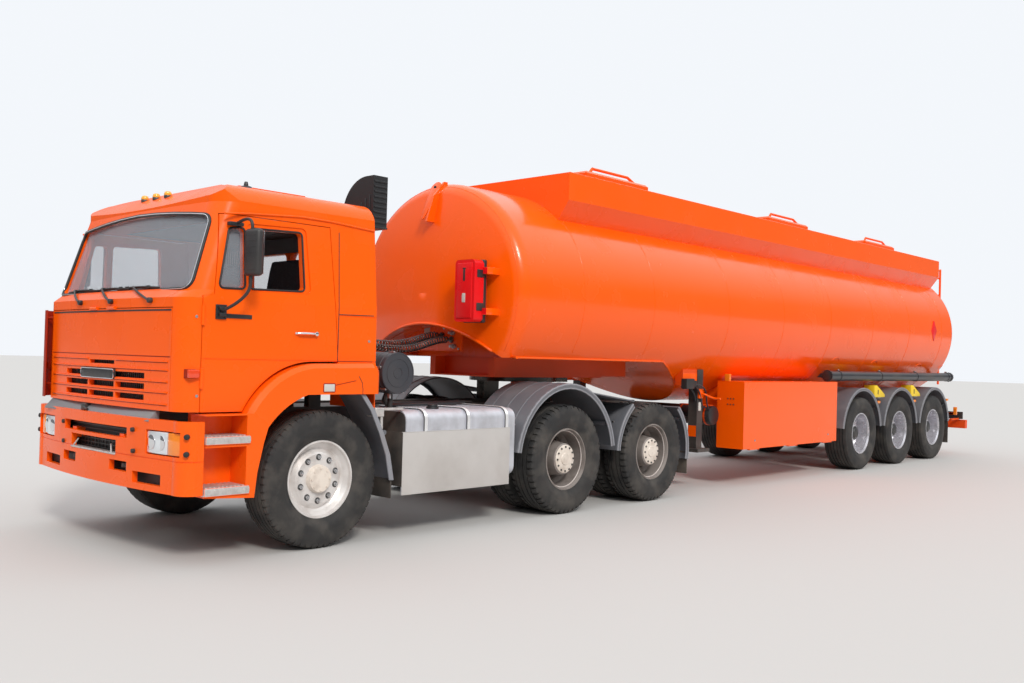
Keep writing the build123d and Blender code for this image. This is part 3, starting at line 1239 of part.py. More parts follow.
def build():
    """Write every node."""
    wheel_pair("front", 0, FRONT_WHEEL_X, ROAD_TYRE_WIDTH, ROAD_RIM_WIDTH, FRONT_DISC)
    for n, y in enumerate(DRIVE_AXLES, 1):
        twin_pair(f"drive_{n}", y)
    for n, y in enumerate(TRAILER_AXLES, 1):
        wheel_pair(f"trailer_{n}", y, TRAILER_WHEEL_X, WIDE_TYRE_WIDTH, WIDE_RIM_WIDTH, TRAILER_DISC)
    write("tractor_chassis", tractor_frame() + tractor_running_gear())
    write("engine_block", engine_block())
    write("knuckle_left", knuckle())
    write("knuckle_right", mirror(knuckle(), about=Plane.YZ))
    build_cab()
    write("cab_interior", cab_interior())
    write("bumper", bumper())
    write("lamps", lamps())
    flare, treads = arches()
    for tread in treads:
        flare += tread
    write("wheel_arches", both(flare))
    write("mirror_left", mirror_arm())
    write("mirror_right", mirror(mirror_arm(), about=Plane.YZ))
    write("air_intake", air_intake())
    write("fuel_tank", fuel_tank())
    write("air_tanks", air_tanks())
    write("mudguards", mudguards())
    write("fifth_wheel", fifth_wheel())
    tank = tank_shell()
    write("tank_shell", tank)
    write("top_boards", top_boards(tank))
    write("manhole_boxes", manhole_boxes(tank) + valves(tank) + [lifting_lug(tank), rear_ladder(tank)])
    write("trailer_chassis", trailer_chassis(tank))
    write("landing_legs", landing_legs(tank))
    body, door = tool_box(tank)
    write("tool_box", body)
    write("tool_box_door", door)
    write("hose_tube", hose_tube(tank))
    write("trailer_mudguards", trailer_mudguards() + wheel_chocks())
    write("extinguisher_box", extinguisher_box(tank))
    for n, route in enumerate(HOSE_ROUTES, 1):
        write(f"air_hose_{n}", curly_hose(route))


build()
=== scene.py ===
"""Looks of the tanker truck: paint, rubber, glass and the small parts that the solids leave out.

Every place is given from the front axle, in metres: x to the vehicle's left, y to its rear, z up.
"""

import json
import logging
import math
from dataclasses import dataclass
from enum import Enum
from typing import Iterable, Optional, Sequence

import bmesh
import bpy
from mathutils import Matrix, Vector
from mathutils.bvhtree import BVHTree

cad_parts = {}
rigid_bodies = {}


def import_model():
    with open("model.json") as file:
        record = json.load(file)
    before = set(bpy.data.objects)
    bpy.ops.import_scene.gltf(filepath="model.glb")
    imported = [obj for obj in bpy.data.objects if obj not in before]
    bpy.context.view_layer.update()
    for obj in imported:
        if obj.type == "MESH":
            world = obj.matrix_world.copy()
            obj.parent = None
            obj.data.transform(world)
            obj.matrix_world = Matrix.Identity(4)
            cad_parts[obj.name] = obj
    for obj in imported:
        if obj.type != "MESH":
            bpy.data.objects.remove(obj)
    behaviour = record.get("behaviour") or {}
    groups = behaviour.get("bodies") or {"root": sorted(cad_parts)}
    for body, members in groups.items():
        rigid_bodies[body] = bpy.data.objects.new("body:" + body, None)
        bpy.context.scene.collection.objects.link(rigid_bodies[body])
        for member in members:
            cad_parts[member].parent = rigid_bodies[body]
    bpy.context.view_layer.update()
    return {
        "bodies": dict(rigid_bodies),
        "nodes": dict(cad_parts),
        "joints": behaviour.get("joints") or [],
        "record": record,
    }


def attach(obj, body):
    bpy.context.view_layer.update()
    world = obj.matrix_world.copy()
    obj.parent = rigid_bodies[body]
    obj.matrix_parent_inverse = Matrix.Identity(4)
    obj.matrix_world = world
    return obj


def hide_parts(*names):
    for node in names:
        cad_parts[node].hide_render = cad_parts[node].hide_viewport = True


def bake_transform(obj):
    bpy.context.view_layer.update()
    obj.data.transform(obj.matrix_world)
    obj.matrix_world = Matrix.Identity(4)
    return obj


LOG = logging.getLogger("tanker")

Point = Sequence[float]
Colour = tuple[float, float, float]

FRONT_AXLE_Y = -6.405
SIDES = (("left", 1), ("right", -1))
DRIVE_AXLES = (2.84, 4.28)
TRAILER_AXLES = (9.55, 10.96, 12.37)
AXLE_Z = 0.53
GUARD_X = 1.243
FLARE_X = 1.2505
UP = Vector((0, 0, 1))
REARWARD = Vector((0, 1, 0))


def at(x: float, y: float, z: float) -> Vector:
    """Point given from the front axle, in the model's own frame."""
    return Vector((x, y + FRONT_AXLE_Y, z))


class Slot(Enum):
    """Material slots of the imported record."""

    TYRE = "tyre"
    WHEEL = "wheel_silver"
    CHASSIS = "chassis_black"
    CAST = "cast_grey"
    CAB = "cab_orange"
    TANK = "tank_orange"
    TRIM = "trim_black"
    GLASS = "clear_glass"
    SEAT = "seat_dark"
    LAMP = "lamp_lens"
    ALUMINIUM = "tank_aluminium"
    RED = "red_plastic"


class Nodes:
    """Node tree that is built from nothing."""

    def __init__(self, tree: bpy.types.NodeTree) -> None:
        """Empty the tree."""
        self.tree = tree
        self.tree.nodes.clear()

    def feed(self, socket: bpy.types.NodeSocket, value: object) -> None:
        """Link a socket to another one, or set its value."""
        if isinstance(value, bpy.types.NodeSocket):
            self.tree.links.new(value, socket)
        else:
            socket.default_value = value

    def node(self, kind: str, **inputs: object) -> bpy.types.Node:
        """Add a node and feed its inputs.

        Args:
            kind: Its type, without the leading ShaderNode.
            inputs: A value or a socket for each input; an underscore stands for a space.

        Returns:
            The node.
        """
        made = self.tree.nodes.new("ShaderNode" + kind)
        for name, value in inputs.items():
            self.feed(made.inputs[name.replace("_", " ")], value)
        return made


class Graph(Nodes):
    """Node graph of one material, with one Principled shader."""

    def __init__(self, name: str) -> None:
        """Start a graph with its shader and output."""
        self.material = bpy.data.materials.new(name)
        self.material.use_nodes = True
        super().__init__(self.material.node_tree)
        self.shader = self.node("BsdfPrincipled")
        self.node("OutputMaterial", Surface=self.shader.outputs["BSDF"])
        self.place = self.node("TexCoord").outputs["Object"]

    def noise(self, scale: float, detail: float, stretch: Point = (1, 1, 1)) -> bpy.types.NodeSocket:
        """Noise on the object's own coordinates.

        Args:
            scale: How fine the noise is, per metre.
            detail: Number of finer layers.
            stretch: How much each axis is scaled first.

        Returns:
            The noise's factor socket.
        """
        spot = self.node("Mapping", Vector=self.place, Scale=stretch).outputs["Vector"]
        return self.node("TexNoise", Vector=spot, Scale=scale, Detail=detail).outputs["Fac"]

    def remap(self, socket: bpy.types.NodeSocket, **limits: float) -> bpy.types.NodeSocket:
        """Move a factor from one range to another, which are 0 to 1 where nothing is said."""
        return self.node("MapRange", Value=socket, **limits).outputs["Result"]

    def height(self, low: float, high: float) -> bpy.types.NodeSocket:
        """Socket that runs from 1 at the low height to 0 at the high one, in metres."""
        z = self.node("SeparateXYZ", Vector=self.place).outputs["Z"]
        return self.remap(z, From_Min=low, From_Max=high, To_Min=1, To_Max=0)

    def times(self, first: bpy.types.NodeSocket, second: object) -> bpy.types.NodeSocket:
        """Product of a factor and another factor or number."""
        node = self.node("Math")
        node.operation = "MULTIPLY"
        node.use_clamp = True
        self.feed(node.inputs[0], first)
        self.feed(node.inputs[1], second)
        return node.outputs["Value"]

    def mix(self, factor: bpy.types.NodeSocket, first: object, second: object) -> bpy.types.NodeSocket:
        """Colour between two colours or colour sockets."""
        node = self.node("Mix")
        node.data_type = "RGBA"
        self.feed(node.inputs["Factor"], factor)
        for name, value in (("A", first), ("B", second)):
            socket = next(s for s in node.inputs if s.name == name and s.type == "RGBA")
            self.feed(socket, value if isinstance(value, bpy.types.NodeSocket) else (*value, 1))
        return next(s for s in node.outputs if s.type == "RGBA")


@dataclass(frozen=True)
class Finish:
    """A surface finish: its base colour, how it wears, the painted glints of the air hose, and how it shines.
    """

    name: str
    colour: Colour
    slot: Slot
    roughness: float = 0.4
    metallic: float = 0.0
    dirt_and_glint: Colour = (0.24, 0.19, 0.15)
    dirt_and_glint_amount: float = 0.25
    dirt_and_glint_scale: float = 2.2
    low_dirt: float = 0.0
    streaks: float = 0.0
    grain: float = 0.0
    grain_scale: float = 300.0
    coat: float = 0.0
    variation: float = 0.06
    specular: float = 0.5
    alpha: float = 1.0

    def colours(self, graph: Graph, patches: bpy.types.NodeSocket) -> bpy.types.NodeSocket:
        """Base colour with its slow variation, its dirt in patches and low down, and its streaks; on the air
        hose the patches are painted glints, reflections of the orange paint, not dirt.
        """
        dark = tuple(c * (1 - self.variation) for c in self.colour)
        light = tuple(min(1.0, c * (1 + self.variation)) for c in self.colour)
        colour = graph.mix(graph.noise(1.3, 3), dark, light)
        colour = graph.mix(graph.times(patches, self.dirt_and_glint_amount), colour, self.dirt_and_glint)
        if self.low_dirt:
            blotches = graph.remap(graph.noise(5.0, 8), From_Min=0.25, From_Max=0.75)
            film = graph.times(graph.height(0.15, 1.5), blotches)
            colour = graph.mix(graph.times(film, self.low_dirt), colour, self.dirt_and_glint)
        if self.streaks:
            runs = graph.remap(graph.noise(3.0, 6, (3.2, 3.2, 0.16)), From_Min=0.5, From_Max=0.8)
            colour = graph.mix(graph.times(runs, self.streaks), colour, self.dirt_and_glint)
        return colour

    def material(self) -> bpy.types.Material:
        """Build the finish's material once, and return it after that."""
        known = bpy.data.materials.get(self.name)
        if known:
            return known
        graph = Graph(self.name)
        patches = graph.remap(graph.noise(self.dirt_and_glint_scale, 8), From_Min=0.46, From_Max=0.78)
        sockets = {
            "Base Color": self.colours(graph, patches),
            "Roughness": graph.remap(patches, To_Min=max(0.03, self.roughness - 0.06),
                                     To_Max=min(1.0, self.roughness + 0.14)),
            "Metallic": self.metallic,
            "Specular IOR Level": self.specular,
            "Coat Weight": self.coat,
            "Coat Roughness": 0.08,
            "Alpha": self.alpha,
        }
        if self.grain:
            grain = graph.noise(self.grain_scale, 3)
            bump = graph.node("Bump", Height=grain, Distance=self.grain, Strength=1.0)
            sockets["Normal"] = bump.outputs["Normal"]
        for name, value in sockets.items():
            graph.feed(graph.shader.inputs[name], value)
        return graph.material


CAB_PAINT = Finish("cab_paint", (0.97, 0.112, 0.002), Slot.CAB, 0.30, coat=0.08, specular=0.20,
                   dirt_and_glint_amount=0.03, low_dirt=0.08, grain=0.0003, grain_scale=9.0, variation=0.03,
                   dirt_and_glint=(0.50, 0.17, 0.05))
TANK_PAINT = Finish("tank_paint", (0.97, 0.108, 0.001), Slot.TANK, 0.24, coat=0.25, specular=0.26,
                    dirt_and_glint_amount=0.03, streaks=0.03, grain=0.0002, grain_scale=3.0, variation=0.03,
                    dirt_and_glint=(0.55, 0.13, 0.03))
FRAME_PAINT = Finish("frame_paint", (0.80, 0.075, 0.003), Slot.TANK, 0.42, dirt_and_glint_amount=0.12, low_dirt=0.20,
                     specular=0.25, grain=0.0004, grain_scale=40.0, dirt_and_glint=(0.20, 0.12, 0.08))
# Dark-red copy of the cab's orange: painted shade, laid on thin lines, frames, edges and one panel where
# shade falls.
SHADE_PAINT = Finish("shade_paint", (0.33, 0.018, 0.002), Slot.CAB, 0.45, dirt_and_glint_amount=0.05, specular=0.15,
                     grain=0.0003, grain_scale=30.0)
CHASSIS_BLACK = Finish("chassis_enamel", (0.022, 0.022, 0.024), Slot.CHASSIS, 0.45, dirt_and_glint_amount=0.35,
                       low_dirt=0.30, grain=0.0005, grain_scale=60.0)
CAST_IRON = Finish("cast_iron", (0.075, 0.072, 0.070), Slot.CAST, 0.55, 0.6, dirt_and_glint_amount=0.5, low_dirt=0.3,
                   grain=0.0008, grain_scale=90.0)
GREASE = Finish("grease_plate", (0.035, 0.032, 0.028), Slot.CAST, 0.25, 0.5, dirt_and_glint_amount=0.4, grain=0.0006,
                grain_scale=35.0)
RUBBER = Finish("tyre_rubber", (0.020, 0.020, 0.021), Slot.TYRE, 0.72, dirt_and_glint=(0.13, 0.115, 0.10),
                dirt_and_glint_amount=0.55, dirt_and_glint_scale=6.0, low_dirt=0.30, grain=0.0006, grain_scale=220.0,
                specular=0.35)
SOFT_RUBBER = Finish("seal_rubber", (0.014, 0.014, 0.015), Slot.TRIM, 0.55, dirt_and_glint_amount=0.12, grain=0.0003)
MUD_FLAP = Finish("mud_flap_rubber", (0.018, 0.018, 0.019), Slot.TRIM, 0.7, dirt_and_glint_amount=0.5, low_dirt=0.4,
                  grain=0.0005, grain_scale=120.0)
FENDER = Finish("fender_plastic", (0.13, 0.133, 0.148), Slot.TRIM, 0.50, dirt_and_glint=(0.26, 0.25, 0.25),
                dirt_and_glint_amount=0.45, dirt_and_glint_scale=4.0, grain=0.0005, grain_scale=160.0)
FENDER_EDGE = Finish("fender_edge", (0.25, 0.255, 0.28), Slot.TRIM, 0.45, dirt_and_glint_amount=0.3, grain=0.0004)
BLACK_PLASTIC = Finish("black_plastic", (0.020, 0.020, 0.022), Slot.TRIM, 0.42, dirt_and_glint_amount=0.15,
                       grain=0.0004, grain_scale=420.0)
HOSE_PIPE = Finish("pipe_plastic", (0.030, 0.031, 0.036), Slot.TRIM, 0.36, dirt_and_glint_amount=0.25, grain=0.0003)
DRUM = Finish("drum_plastic", (0.036, 0.038, 0.047), Slot.TRIM, 0.48, dirt_and_glint_amount=0.1, grain=0.0004)
# Black hose whose reddish-brown patches are painted glints: reflections of the orange paint, put into the
# colour.
HOSE = Finish("air_hose", (0.026, 0.014, 0.012), Slot.TRIM, 0.22, dirt_and_glint=(0.22, 0.045, 0.02),
              dirt_and_glint_amount=0.75, dirt_and_glint_scale=14.0, grain=0.0003, coat=0.5)
FRONT_RIM = Finish("front_rim", (0.74, 0.71, 0.69), Slot.WHEEL, 0.42, 0.35, dirt_and_glint=(0.30, 0.24, 0.20),
                   dirt_and_glint_amount=0.6, dirt_and_glint_scale=7.0, grain=0.0004)
DRIVE_RIM = Finish("drive_rim", (0.30, 0.265, 0.245), Slot.WHEEL, 0.55, 0.3, dirt_and_glint=(0.09, 0.065, 0.05),
                   dirt_and_glint_amount=0.8, dirt_and_glint_scale=6.0, grain=0.0006)
RIM_EDGE = Finish("rim_edge", (0.78, 0.71, 0.67), Slot.WHEEL, 0.45, 0.3, dirt_and_glint=(0.25, 0.2, 0.17),
                  dirt_and_glint_amount=0.6, dirt_and_glint_scale=9.0)
TRAILER_RIM = Finish("trailer_rim", (0.62, 0.61, 0.65), Slot.WHEEL, 0.28, 0.65, dirt_and_glint=(0.24, 0.22, 0.21),
                     dirt_and_glint_amount=0.3, dirt_and_glint_scale=7.0, grain=0.0003)
HUB_CREAM = Finish("hub_paint", (0.74, 0.66, 0.58), Slot.WHEEL, 0.5, dirt_and_glint=(0.35, 0.27, 0.21),
                   dirt_and_glint_amount=0.6, dirt_and_glint_scale=12.0, grain=0.0005)
STEEL = Finish("plain_steel", (0.50, 0.50, 0.51), Slot.WHEEL, 0.32, 0.9, dirt_and_glint_amount=0.25, grain=0.0003)
DARK_STEEL = Finish("dark_steel", (0.10, 0.10, 0.10), Slot.CAST, 0.45, 0.8, dirt_and_glint_amount=0.3, grain=0.0004)
CHROME = Finish("bright_trim", (0.78, 0.78, 0.80), Slot.WHEEL, 0.10, 1.0, dirt_and_glint_amount=0.10)
ALUMINIUM = Finish("tank_aluminium_sheet", (0.58, 0.59, 0.64), Slot.ALUMINIUM, 0.46, 0.35,
                   dirt_and_glint=(0.20, 0.19, 0.19), dirt_and_glint_amount=0.55, dirt_and_glint_scale=5.0, streaks=0.25, grain=0.0004,
                   grain_scale=30.0)
SHEET_GREY = Finish("side_guard_sheet", (0.58, 0.555, 0.535), Slot.ALUMINIUM, 0.50, 0.25,
                    dirt_and_glint=(0.30, 0.26, 0.23), dirt_and_glint_amount=0.35, low_dirt=0.25, grain=0.0003,
                    grain_scale=12.0)
STRAP = Finish("tank_strap", (0.80, 0.80, 0.81), Slot.ALUMINIUM, 0.30, 0.4, dirt_and_glint_amount=0.1)
# Pale grey-blue base colour on a mostly clear pane: a painted reflection of the pale sky, on top of the
# pane's real specular reflection.
GLASS = Finish("cab_glass_pane", (0.50, 0.54, 0.60), Slot.GLASS, 0.04, alpha=0.26, dirt_and_glint=(0.4, 0.4, 0.4),
               dirt_and_glint_amount=0.06, specular=0.8, variation=0.02)
INTERIOR = Finish("cab_lining", (0.085, 0.085, 0.090), Slot.SEAT, 0.7, dirt_and_glint_amount=0.1, grain=0.0006,
                  grain_scale=350.0)
SEAT_CLOTH = Finish("seat_cloth", (0.055, 0.057, 0.066), Slot.SEAT, 0.9, dirt_and_glint=(0.13, 0.13, 0.14),
                    dirt_and_glint_amount=0.5, dirt_and_glint_scale=60.0, grain=0.0009, grain_scale=700.0, specular=0.2)
CURTAIN = Finish("curtain_cloth", (0.30, 0.27, 0.25), Slot.SEAT, 0.9, dirt_and_glint_amount=0.2, grain=0.0008,
                 grain_scale=500.0, specular=0.2)
CLEAR_LENS = Finish("clear_lens", (0.74, 0.77, 0.80), Slot.LAMP, 0.12, 0.25, coat=1.0, dirt_and_glint_amount=0.12,
                    grain=0.0008, grain_scale=55.0)
AMBER_LENS = Finish("amber_lens", (0.90, 0.24, 0.01), Slot.LAMP, 0.15, coat=1.0, dirt_and_glint_amount=0.08,
                    grain=0.0008, grain_scale=60.0)
YELLOW_LENS = Finish("roof_lens", (0.95, 0.42, 0.02), Slot.LAMP, 0.15, coat=1.0, dirt_and_glint_amount=0.05,
                     grain=0.0005, grain_scale=80.0)
ORANGE_LENS = Finish("orange_lens", (0.80, 0.055, 0.006), Slot.LAMP, 0.18, coat=0.8, dirt_and_glint_amount=0.05,
                     grain=0.0006, grain_scale=60.0)
RED_LENS = Finish("red_lens", (0.55, 0.012, 0.008), Slot.LAMP, 0.15, coat=1.0, dirt_and_glint_amount=0.08,
                  grain=0.0008, grain_scale=60.0)
RED_PLASTIC = Finish("box_red", (0.78, 0.006, 0.010), Slot.RED, 0.32, coat=0.05, specular=0.25,
                     dirt_and_glint_amount=0.05, grain=0.0003)
YELLOW = Finish("chock_yellow", (0.90, 0.62, 0.02), Slot.TRIM, 0.45, dirt_and_glint_amount=0.25, grain=0.0004)
GALVANISED = Finish("step_metal", (0.66, 0.63, 0.61), Slot.WHEEL, 0.40, 0.6, dirt_and_glint=(0.30, 0.26, 0.23),
                    dirt_and_glint_amount=0.5, dirt_and_glint_scale=18.0, grain=0.0012, grain_scale=140.0)
GREY_PANEL = Finish("grey_panel", (0.20, 0.205, 0.22), Slot.TRIM, 0.6, dirt_and_glint_amount=0.5, grain=0.0005)
PALE_LABEL = Finish("blank_label", (0.62, 0.60, 0.56), Slot.TRIM, 0.5, dirt_and_glint_amount=0.3)


class Surface:
    """Shape of some CAD nodes, on which small parts are laid by shooting a straight line at it."""

    def __init__(self, frame: dict, *nodes: str) -> None:
        """Gather the nodes' triangles."""
        shape = bmesh.new()
        for name in nodes:
            shape.from_mesh(frame["nodes"][name].data)
        self.tree = BVHTree.FromBMesh(shape)
        shape.free()

    def hit(self, start: Vector, way: Vector) -> Optional[Vector]:
        """Point where a line from start, along way, first meets the nodes, or None."""
        return self.tree.ray_cast(start, way.normalized())[0]

    def front(self, x: float, z: float, proud: float = 0.0) -> Vector:
        """Point on the front at that x and z, moved forward by proud."""
        return (self.hit(at(x, -2.5, z), REARWARD) or at(x, -1.2, z)) - proud * REARWARD

    def side(self, sign: int, y: float, z: float, proud: float = 0.0) -> Vector:
        """Point on the left or right side at that y and z, moved outwards by proud."""
        out = Vector((sign, 0, 0))
        return (self.hit(at(sign * 2.0, y, z), -out) or at(sign * 1.16, y, z)) + proud * out

    def top(self, x: float, y: float) -> float:
        """Height of the top at that x and y."""
        return (self.hit(at(x, y, 5.0), -UP) or at(x, y, 2.8)).z


class Piece:
    """One mesh in the making: shapes are added to a bmesh, which becomes one object at the origin."""

    def __init__(self, name: str) -> None:
        """Start an empty piece."""
        self.name = name
        self.mesh = bmesh.new()

    def connected(self, seeds: Iterable[bmesh.types.BMVert]) -> list[bmesh.types.BMVert]:
        """Every vertex joined to the seeds by edges."""
        found = set(seeds)
        queue = list(found)
        while queue:
            vert = queue.pop()
            fresh = {edge.other_vert(vert) for edge in vert.link_edges} - found
            found |= fresh
            queue.extend(fresh)
        return list(found)

    def bevel(self, edges: set[bmesh.types.BMEdge], width: float, steps: int) -> list[bmesh.types.BMVert]:
        """Round some edges of a shape, and return every vertex of that shape."""
        made = bmesh.ops.bevel(self.mesh, geom=list(edges), offset=width, offset_type="OFFSET",
                               segments=steps, profile=0.5, affect="EDGES", material=-1, clamp_overlap=True)
        return self.connected(made["verts"])

    def put(self, verts: list[bmesh.types.BMVert], turn: Matrix, centre: Vector) -> "Piece":
        """Turn a shape made at the origin, and move it to its place."""
        bmesh.ops.rotate(self.mesh, cent=(0, 0, 0), matrix=turn, verts=verts)
        bmesh.ops.translate(self.mesh, vec=centre, verts=verts)
        return self

    def outward(self) -> "Piece":
        """Point every face outwards."""
        bmesh.ops.recalc_face_normals(self.mesh, faces=self.mesh.faces[:])
        return self

    def box(self, low: Point, high: Point, edge: float = 0.0, turn: Matrix = Matrix.Identity(3)) -> "Piece":
        """Add a box between two opposite corners.

        Args:
            low: One corner, from the front axle.
            high: The opposite corner.
            edge: Width of the rounded edges, or 0 for sharp ones.
            turn: Rotation about the box's centre.

        Returns:
            The piece itself.
        """
        a, b = at(*low), at(*high)
        made = bmesh.ops.create_cube(self.mesh, size=1.0)["verts"]
        bmesh.ops.scale(self.mesh, vec=[abs(v) for v in b - a], verts=made)
        if edge:
            made = self.bevel({e for v in made for e in v.link_edges}, edge, 3)
        return self.put(made, turn, (a + b) / 2)

    def rod(self, start: Point, end: Point, radius: float, edge: float = 0.0, sides: int = 16,
            tip: Optional[float] = None) -> "Piece":
        """Add a round bar, or a cone where tip gives another radius at its end.

        Args:
            start: Middle of its first end, from the front axle.
            end: Middle of its other end.
            radius: Radius at the start.
            edge: Width of the rounded edges at both ends.
            sides: Number of sides.
            tip: Radius at the end, or None for the same one.

        Returns:
            The piece itself.
        """
        a, b = at(*start), at(*end)
        made = bmesh.ops.create_cone(self.mesh, cap_ends=True, cap_tris=False, segments=sides, radius1=radius,
                                     radius2=radius if tip is None else tip, depth=(b - a).length)["verts"]
        if edge:
            rims = {e for v in made for e in v.link_edges if any(len(f.verts) == sides for f in e.link_faces)}
            made = self.bevel(rims, edge, 2)
        return self.put(made, UP.rotation_difference(b - a).to_matrix(), (a + b) / 2)

    def studs(self, spots: Iterable[Point], start: float, end: float, radius: float, edge: float = 0.0,
              sides: int = 16) -> "Piece":
        """Add rods along X, each from start to end at its own pair of y and z."""
        for y, z in spots:
            self.rod((start, y, z), (end, y, z), radius, edge, sides)
        return self

    def lathe(self, profile: Sequence[Point], centre: Point, sign: int = 1, steps: int = 64,
              closed: bool = True) -> "Piece":
        """Spin a profile about a line along X.

        Args:
            profile: Pairs of (distance along the axis, radius).
            centre: Middle of the turned shape, from the front axle.
            sign: 1 where positive distances point to the vehicle's left, -1 for the right.
            steps: Number of steps round.
            closed: Join the last point to the first.

        Returns:
            The piece itself.
        """
        middle = at(*centre)
        verts = [self.mesh.verts.new(middle + Vector((sign * along, 0, radius))) for along, radius in profile]
        pairs = list(zip(verts, verts[1:])) + ([(verts[-1], verts[0])] if closed else [])
        edges = [self.mesh.edges.new(pair) for pair in pairs]
        bmesh.ops.spin(self.mesh, geom=verts + edges, cent=middle, axis=(1, 0, 0), angle=math.tau,
                       steps=steps, use_merge=True, use_duplicate=False)
        bmesh.ops.remove_doubles(self.mesh, verts=self.mesh.verts[:], dist=1e-5)
        return self

    def slab(self, outline: Sequence[Vector], depth: Vector, edge: float = 0.0) -> "Piece":
        """Push a flat outline along depth.

        Args:
            outline: Corners in order, in the model's own frame.
            depth: How far and which way it is pushed.
            edge: Width of its rounded edges.

        Returns:
            The piece itself.
        """
        face = self.mesh.faces.new([self.mesh.verts.new(p) for p in outline])
        pushed = bmesh.ops.extrude_face_region(self.mesh, geom=[face], use_keep_orig=True)["geom"]
        new = [v for v in pushed if isinstance(v, bmesh.types.BMVert)]
        bmesh.ops.translate(self.mesh, vec=depth, verts=new)
        whole = self.connected(new)
        bmesh.ops.recalc_face_normals(self.mesh, faces=list({f for v in whole for f in v.link_faces}))
        if edge:
            self.bevel({e for v in whole for e in v.link_edges}, edge, 2)
        return self

    def strip(self, spots: Sequence[Vector], z: float, height: float, proud: float, depth: float,
              edge: float = 0.0) -> "Piece":
        """Add an upright strip that follows some points of the front.

        Args:
            spots: The points, in order.
            z: Its lower edge.
            height: Its height.
            proud: How far it stands out.
            depth: How far it goes in.
            edge: Width of its rounded edges.

        Returns:
            The piece itself.
        """
        outline = [Vector((p.x, p.y - proud, z)) for p in spots]
        outline += [Vector((p.x, p.y + depth, z)) for p in reversed(spots)]
        return self.slab(outline, height * UP, edge)

    def tube(self, points: Sequence[Vector], radius: float, closed: bool = False, sides: int = 3,
             smooth: bool = False) -> "Piece":
        """Add a round tube that follows points given in the model's own frame.

        Args:
            points: The line that it follows.
            radius: The tube's radius.
            closed: Join the last point to the first.
            sides: Bevel resolution of the curve; the tube has twice that and 4 sides more.
            smooth: Follow a smooth curve near the points instead of straight runs.

        Returns:
            The piece itself.
        """
        curve = curve_through(points, 6 if smooth else 0, closed)
        curve.bevel_depth = radius
        curve.bevel_resolution = sides
        curve.use_fill_caps = True
        made = curve_mesh(curve)
        self.mesh.from_mesh(made)
        bpy.data.meshes.remove(made)
        return self

    def mirrored(self) -> "Piece":
        """Add the mirror image across the vehicle's middle plane."""
        made = bmesh.ops.mirror(self.mesh, geom=self.mesh.verts[:] + self.mesh.edges[:] + self.mesh.faces[:],
                                axis="X", merge_dist=0.0)
        faces = [g for g in made["geom"] if isinstance(g, bmesh.types.BMFace)]
        bmesh.ops.reverse_faces(self.mesh, faces=faces)
        return self.outward()

    def thing(self, finish: Finish, smooth: float) -> bpy.types.Object:
        """Turn the piece into an object.

        Args:
            finish: Its surface finish.
            smooth: Edges flatter than this many degrees are shaded smooth.

        Returns:
            The object.
        """
        for face in self.mesh.faces:
            face.smooth = True
        limit = math.radians(smooth)
        for edge in self.mesh.edges:
            if len(edge.link_faces) == 2 and edge.calc_face_angle(0.0) > limit:
                edge.smooth = False
        data = bpy.data.meshes.new(self.name)
        self.mesh.to_mesh(data)
        self.mesh.free()
        data.materials.append(finish.material())
        made = bpy.data.objects.new(self.name, data)
        bpy.context.scene.collection.objects.link(made)
        return made

    def done(self, body: str, finish: Finish, replaces: Sequence[str] = (),
             smooth: float = 35.0) -> bpy.types.Object:
        """Turn the piece into an object that rides on a body.

        Args:
            body: CAD body that it moves with.
            finish: Its surface finish.
            replaces: CAD nodes that it stands for.
            smooth: Edges flatter than this many degrees are shaded smooth.

        Returns:
            The finished object.
        """
        made = self.thing(finish, smooth)
        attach(made, body)
        if replaces:
            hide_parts(*replaces)
        LOG.info("%s on %s, %d faces", self.name, body, len(made.data.polygons))
        return made


def plain(name: str, body: str, finish: Finish, boxes: Iterable[tuple] = (), rods: Iterable[tuple] = (),
          both: bool = False) -> None:
    """Make a piece of boxes and rods alone.

    Args:
        name: The piece's name.
        body: CAD body that it moves with.
        finish: Its surface finish.
        boxes: What Piece.box takes, for each box.
        rods: What Piece.rod takes, for each rod.
        both: Add its mirror image too.
    """
    piece = Piece(name)
    for box in boxes:
        piece.box(*box)
    for rod in rods:
        piece.rod(*rod)
    if both:
        piece.mirrored()
    piece.done(body, finish)


def curve_through(points: Sequence[Vector], resolution: int, closed: bool = False) -> bpy.types.Curve:
    """Curve that follows some points.

    Args:
        points: The points, in the model's own frame.
        resolution: Steps of a smooth curve between two points, or 0 for straight runs.
        closed: Join the last point to the first.

    Returns:
        The curve.
    """
    curve = bpy.data.curves.new("route", "CURVE")
    curve.dimensions = "3D"
    spline = curve.splines.new("NURBS" if resolution else "POLY")
    spline.points.add(len(points) - 1)
    for spot, place in zip(spline.points, points):
        spot.co = (*place, 1)
    if resolution:
        spline.order_u = 3
        spline.use_endpoint_u = not closed
        spline.resolution_u = resolution
    spline.use_cyclic_u = closed
    return curve


def curve_mesh(curve: bpy.types.Curve) -> bpy.types.Mesh:
    """Mesh of a curve, which is deleted."""
    holder = bpy.data.objects.new("route", curve)
    made = bpy.data.meshes.new_from_object(holder)
    bpy.data.objects.remove(holder)
    bpy.data.curves.remove(curve)
    return made


def ring(y: float, z: float, radius: float, count: int, first: float = 0.0) -> list[tuple[float, float]]:
    """Pairs of places spread evenly on a circle.

    Args:
        y: First place of the circle's middle.
        z: Second place of its middle.
        radius: Its radius.
        count: Number of pairs.
        first: Where the first one is, in steps.

    Returns:
        The pairs.
    """
    turns = [math.tau * (n + first) / count for n in range(count)]
    return [(y + radius * math.cos(a), z + radius * math.sin(a)) for a in turns]


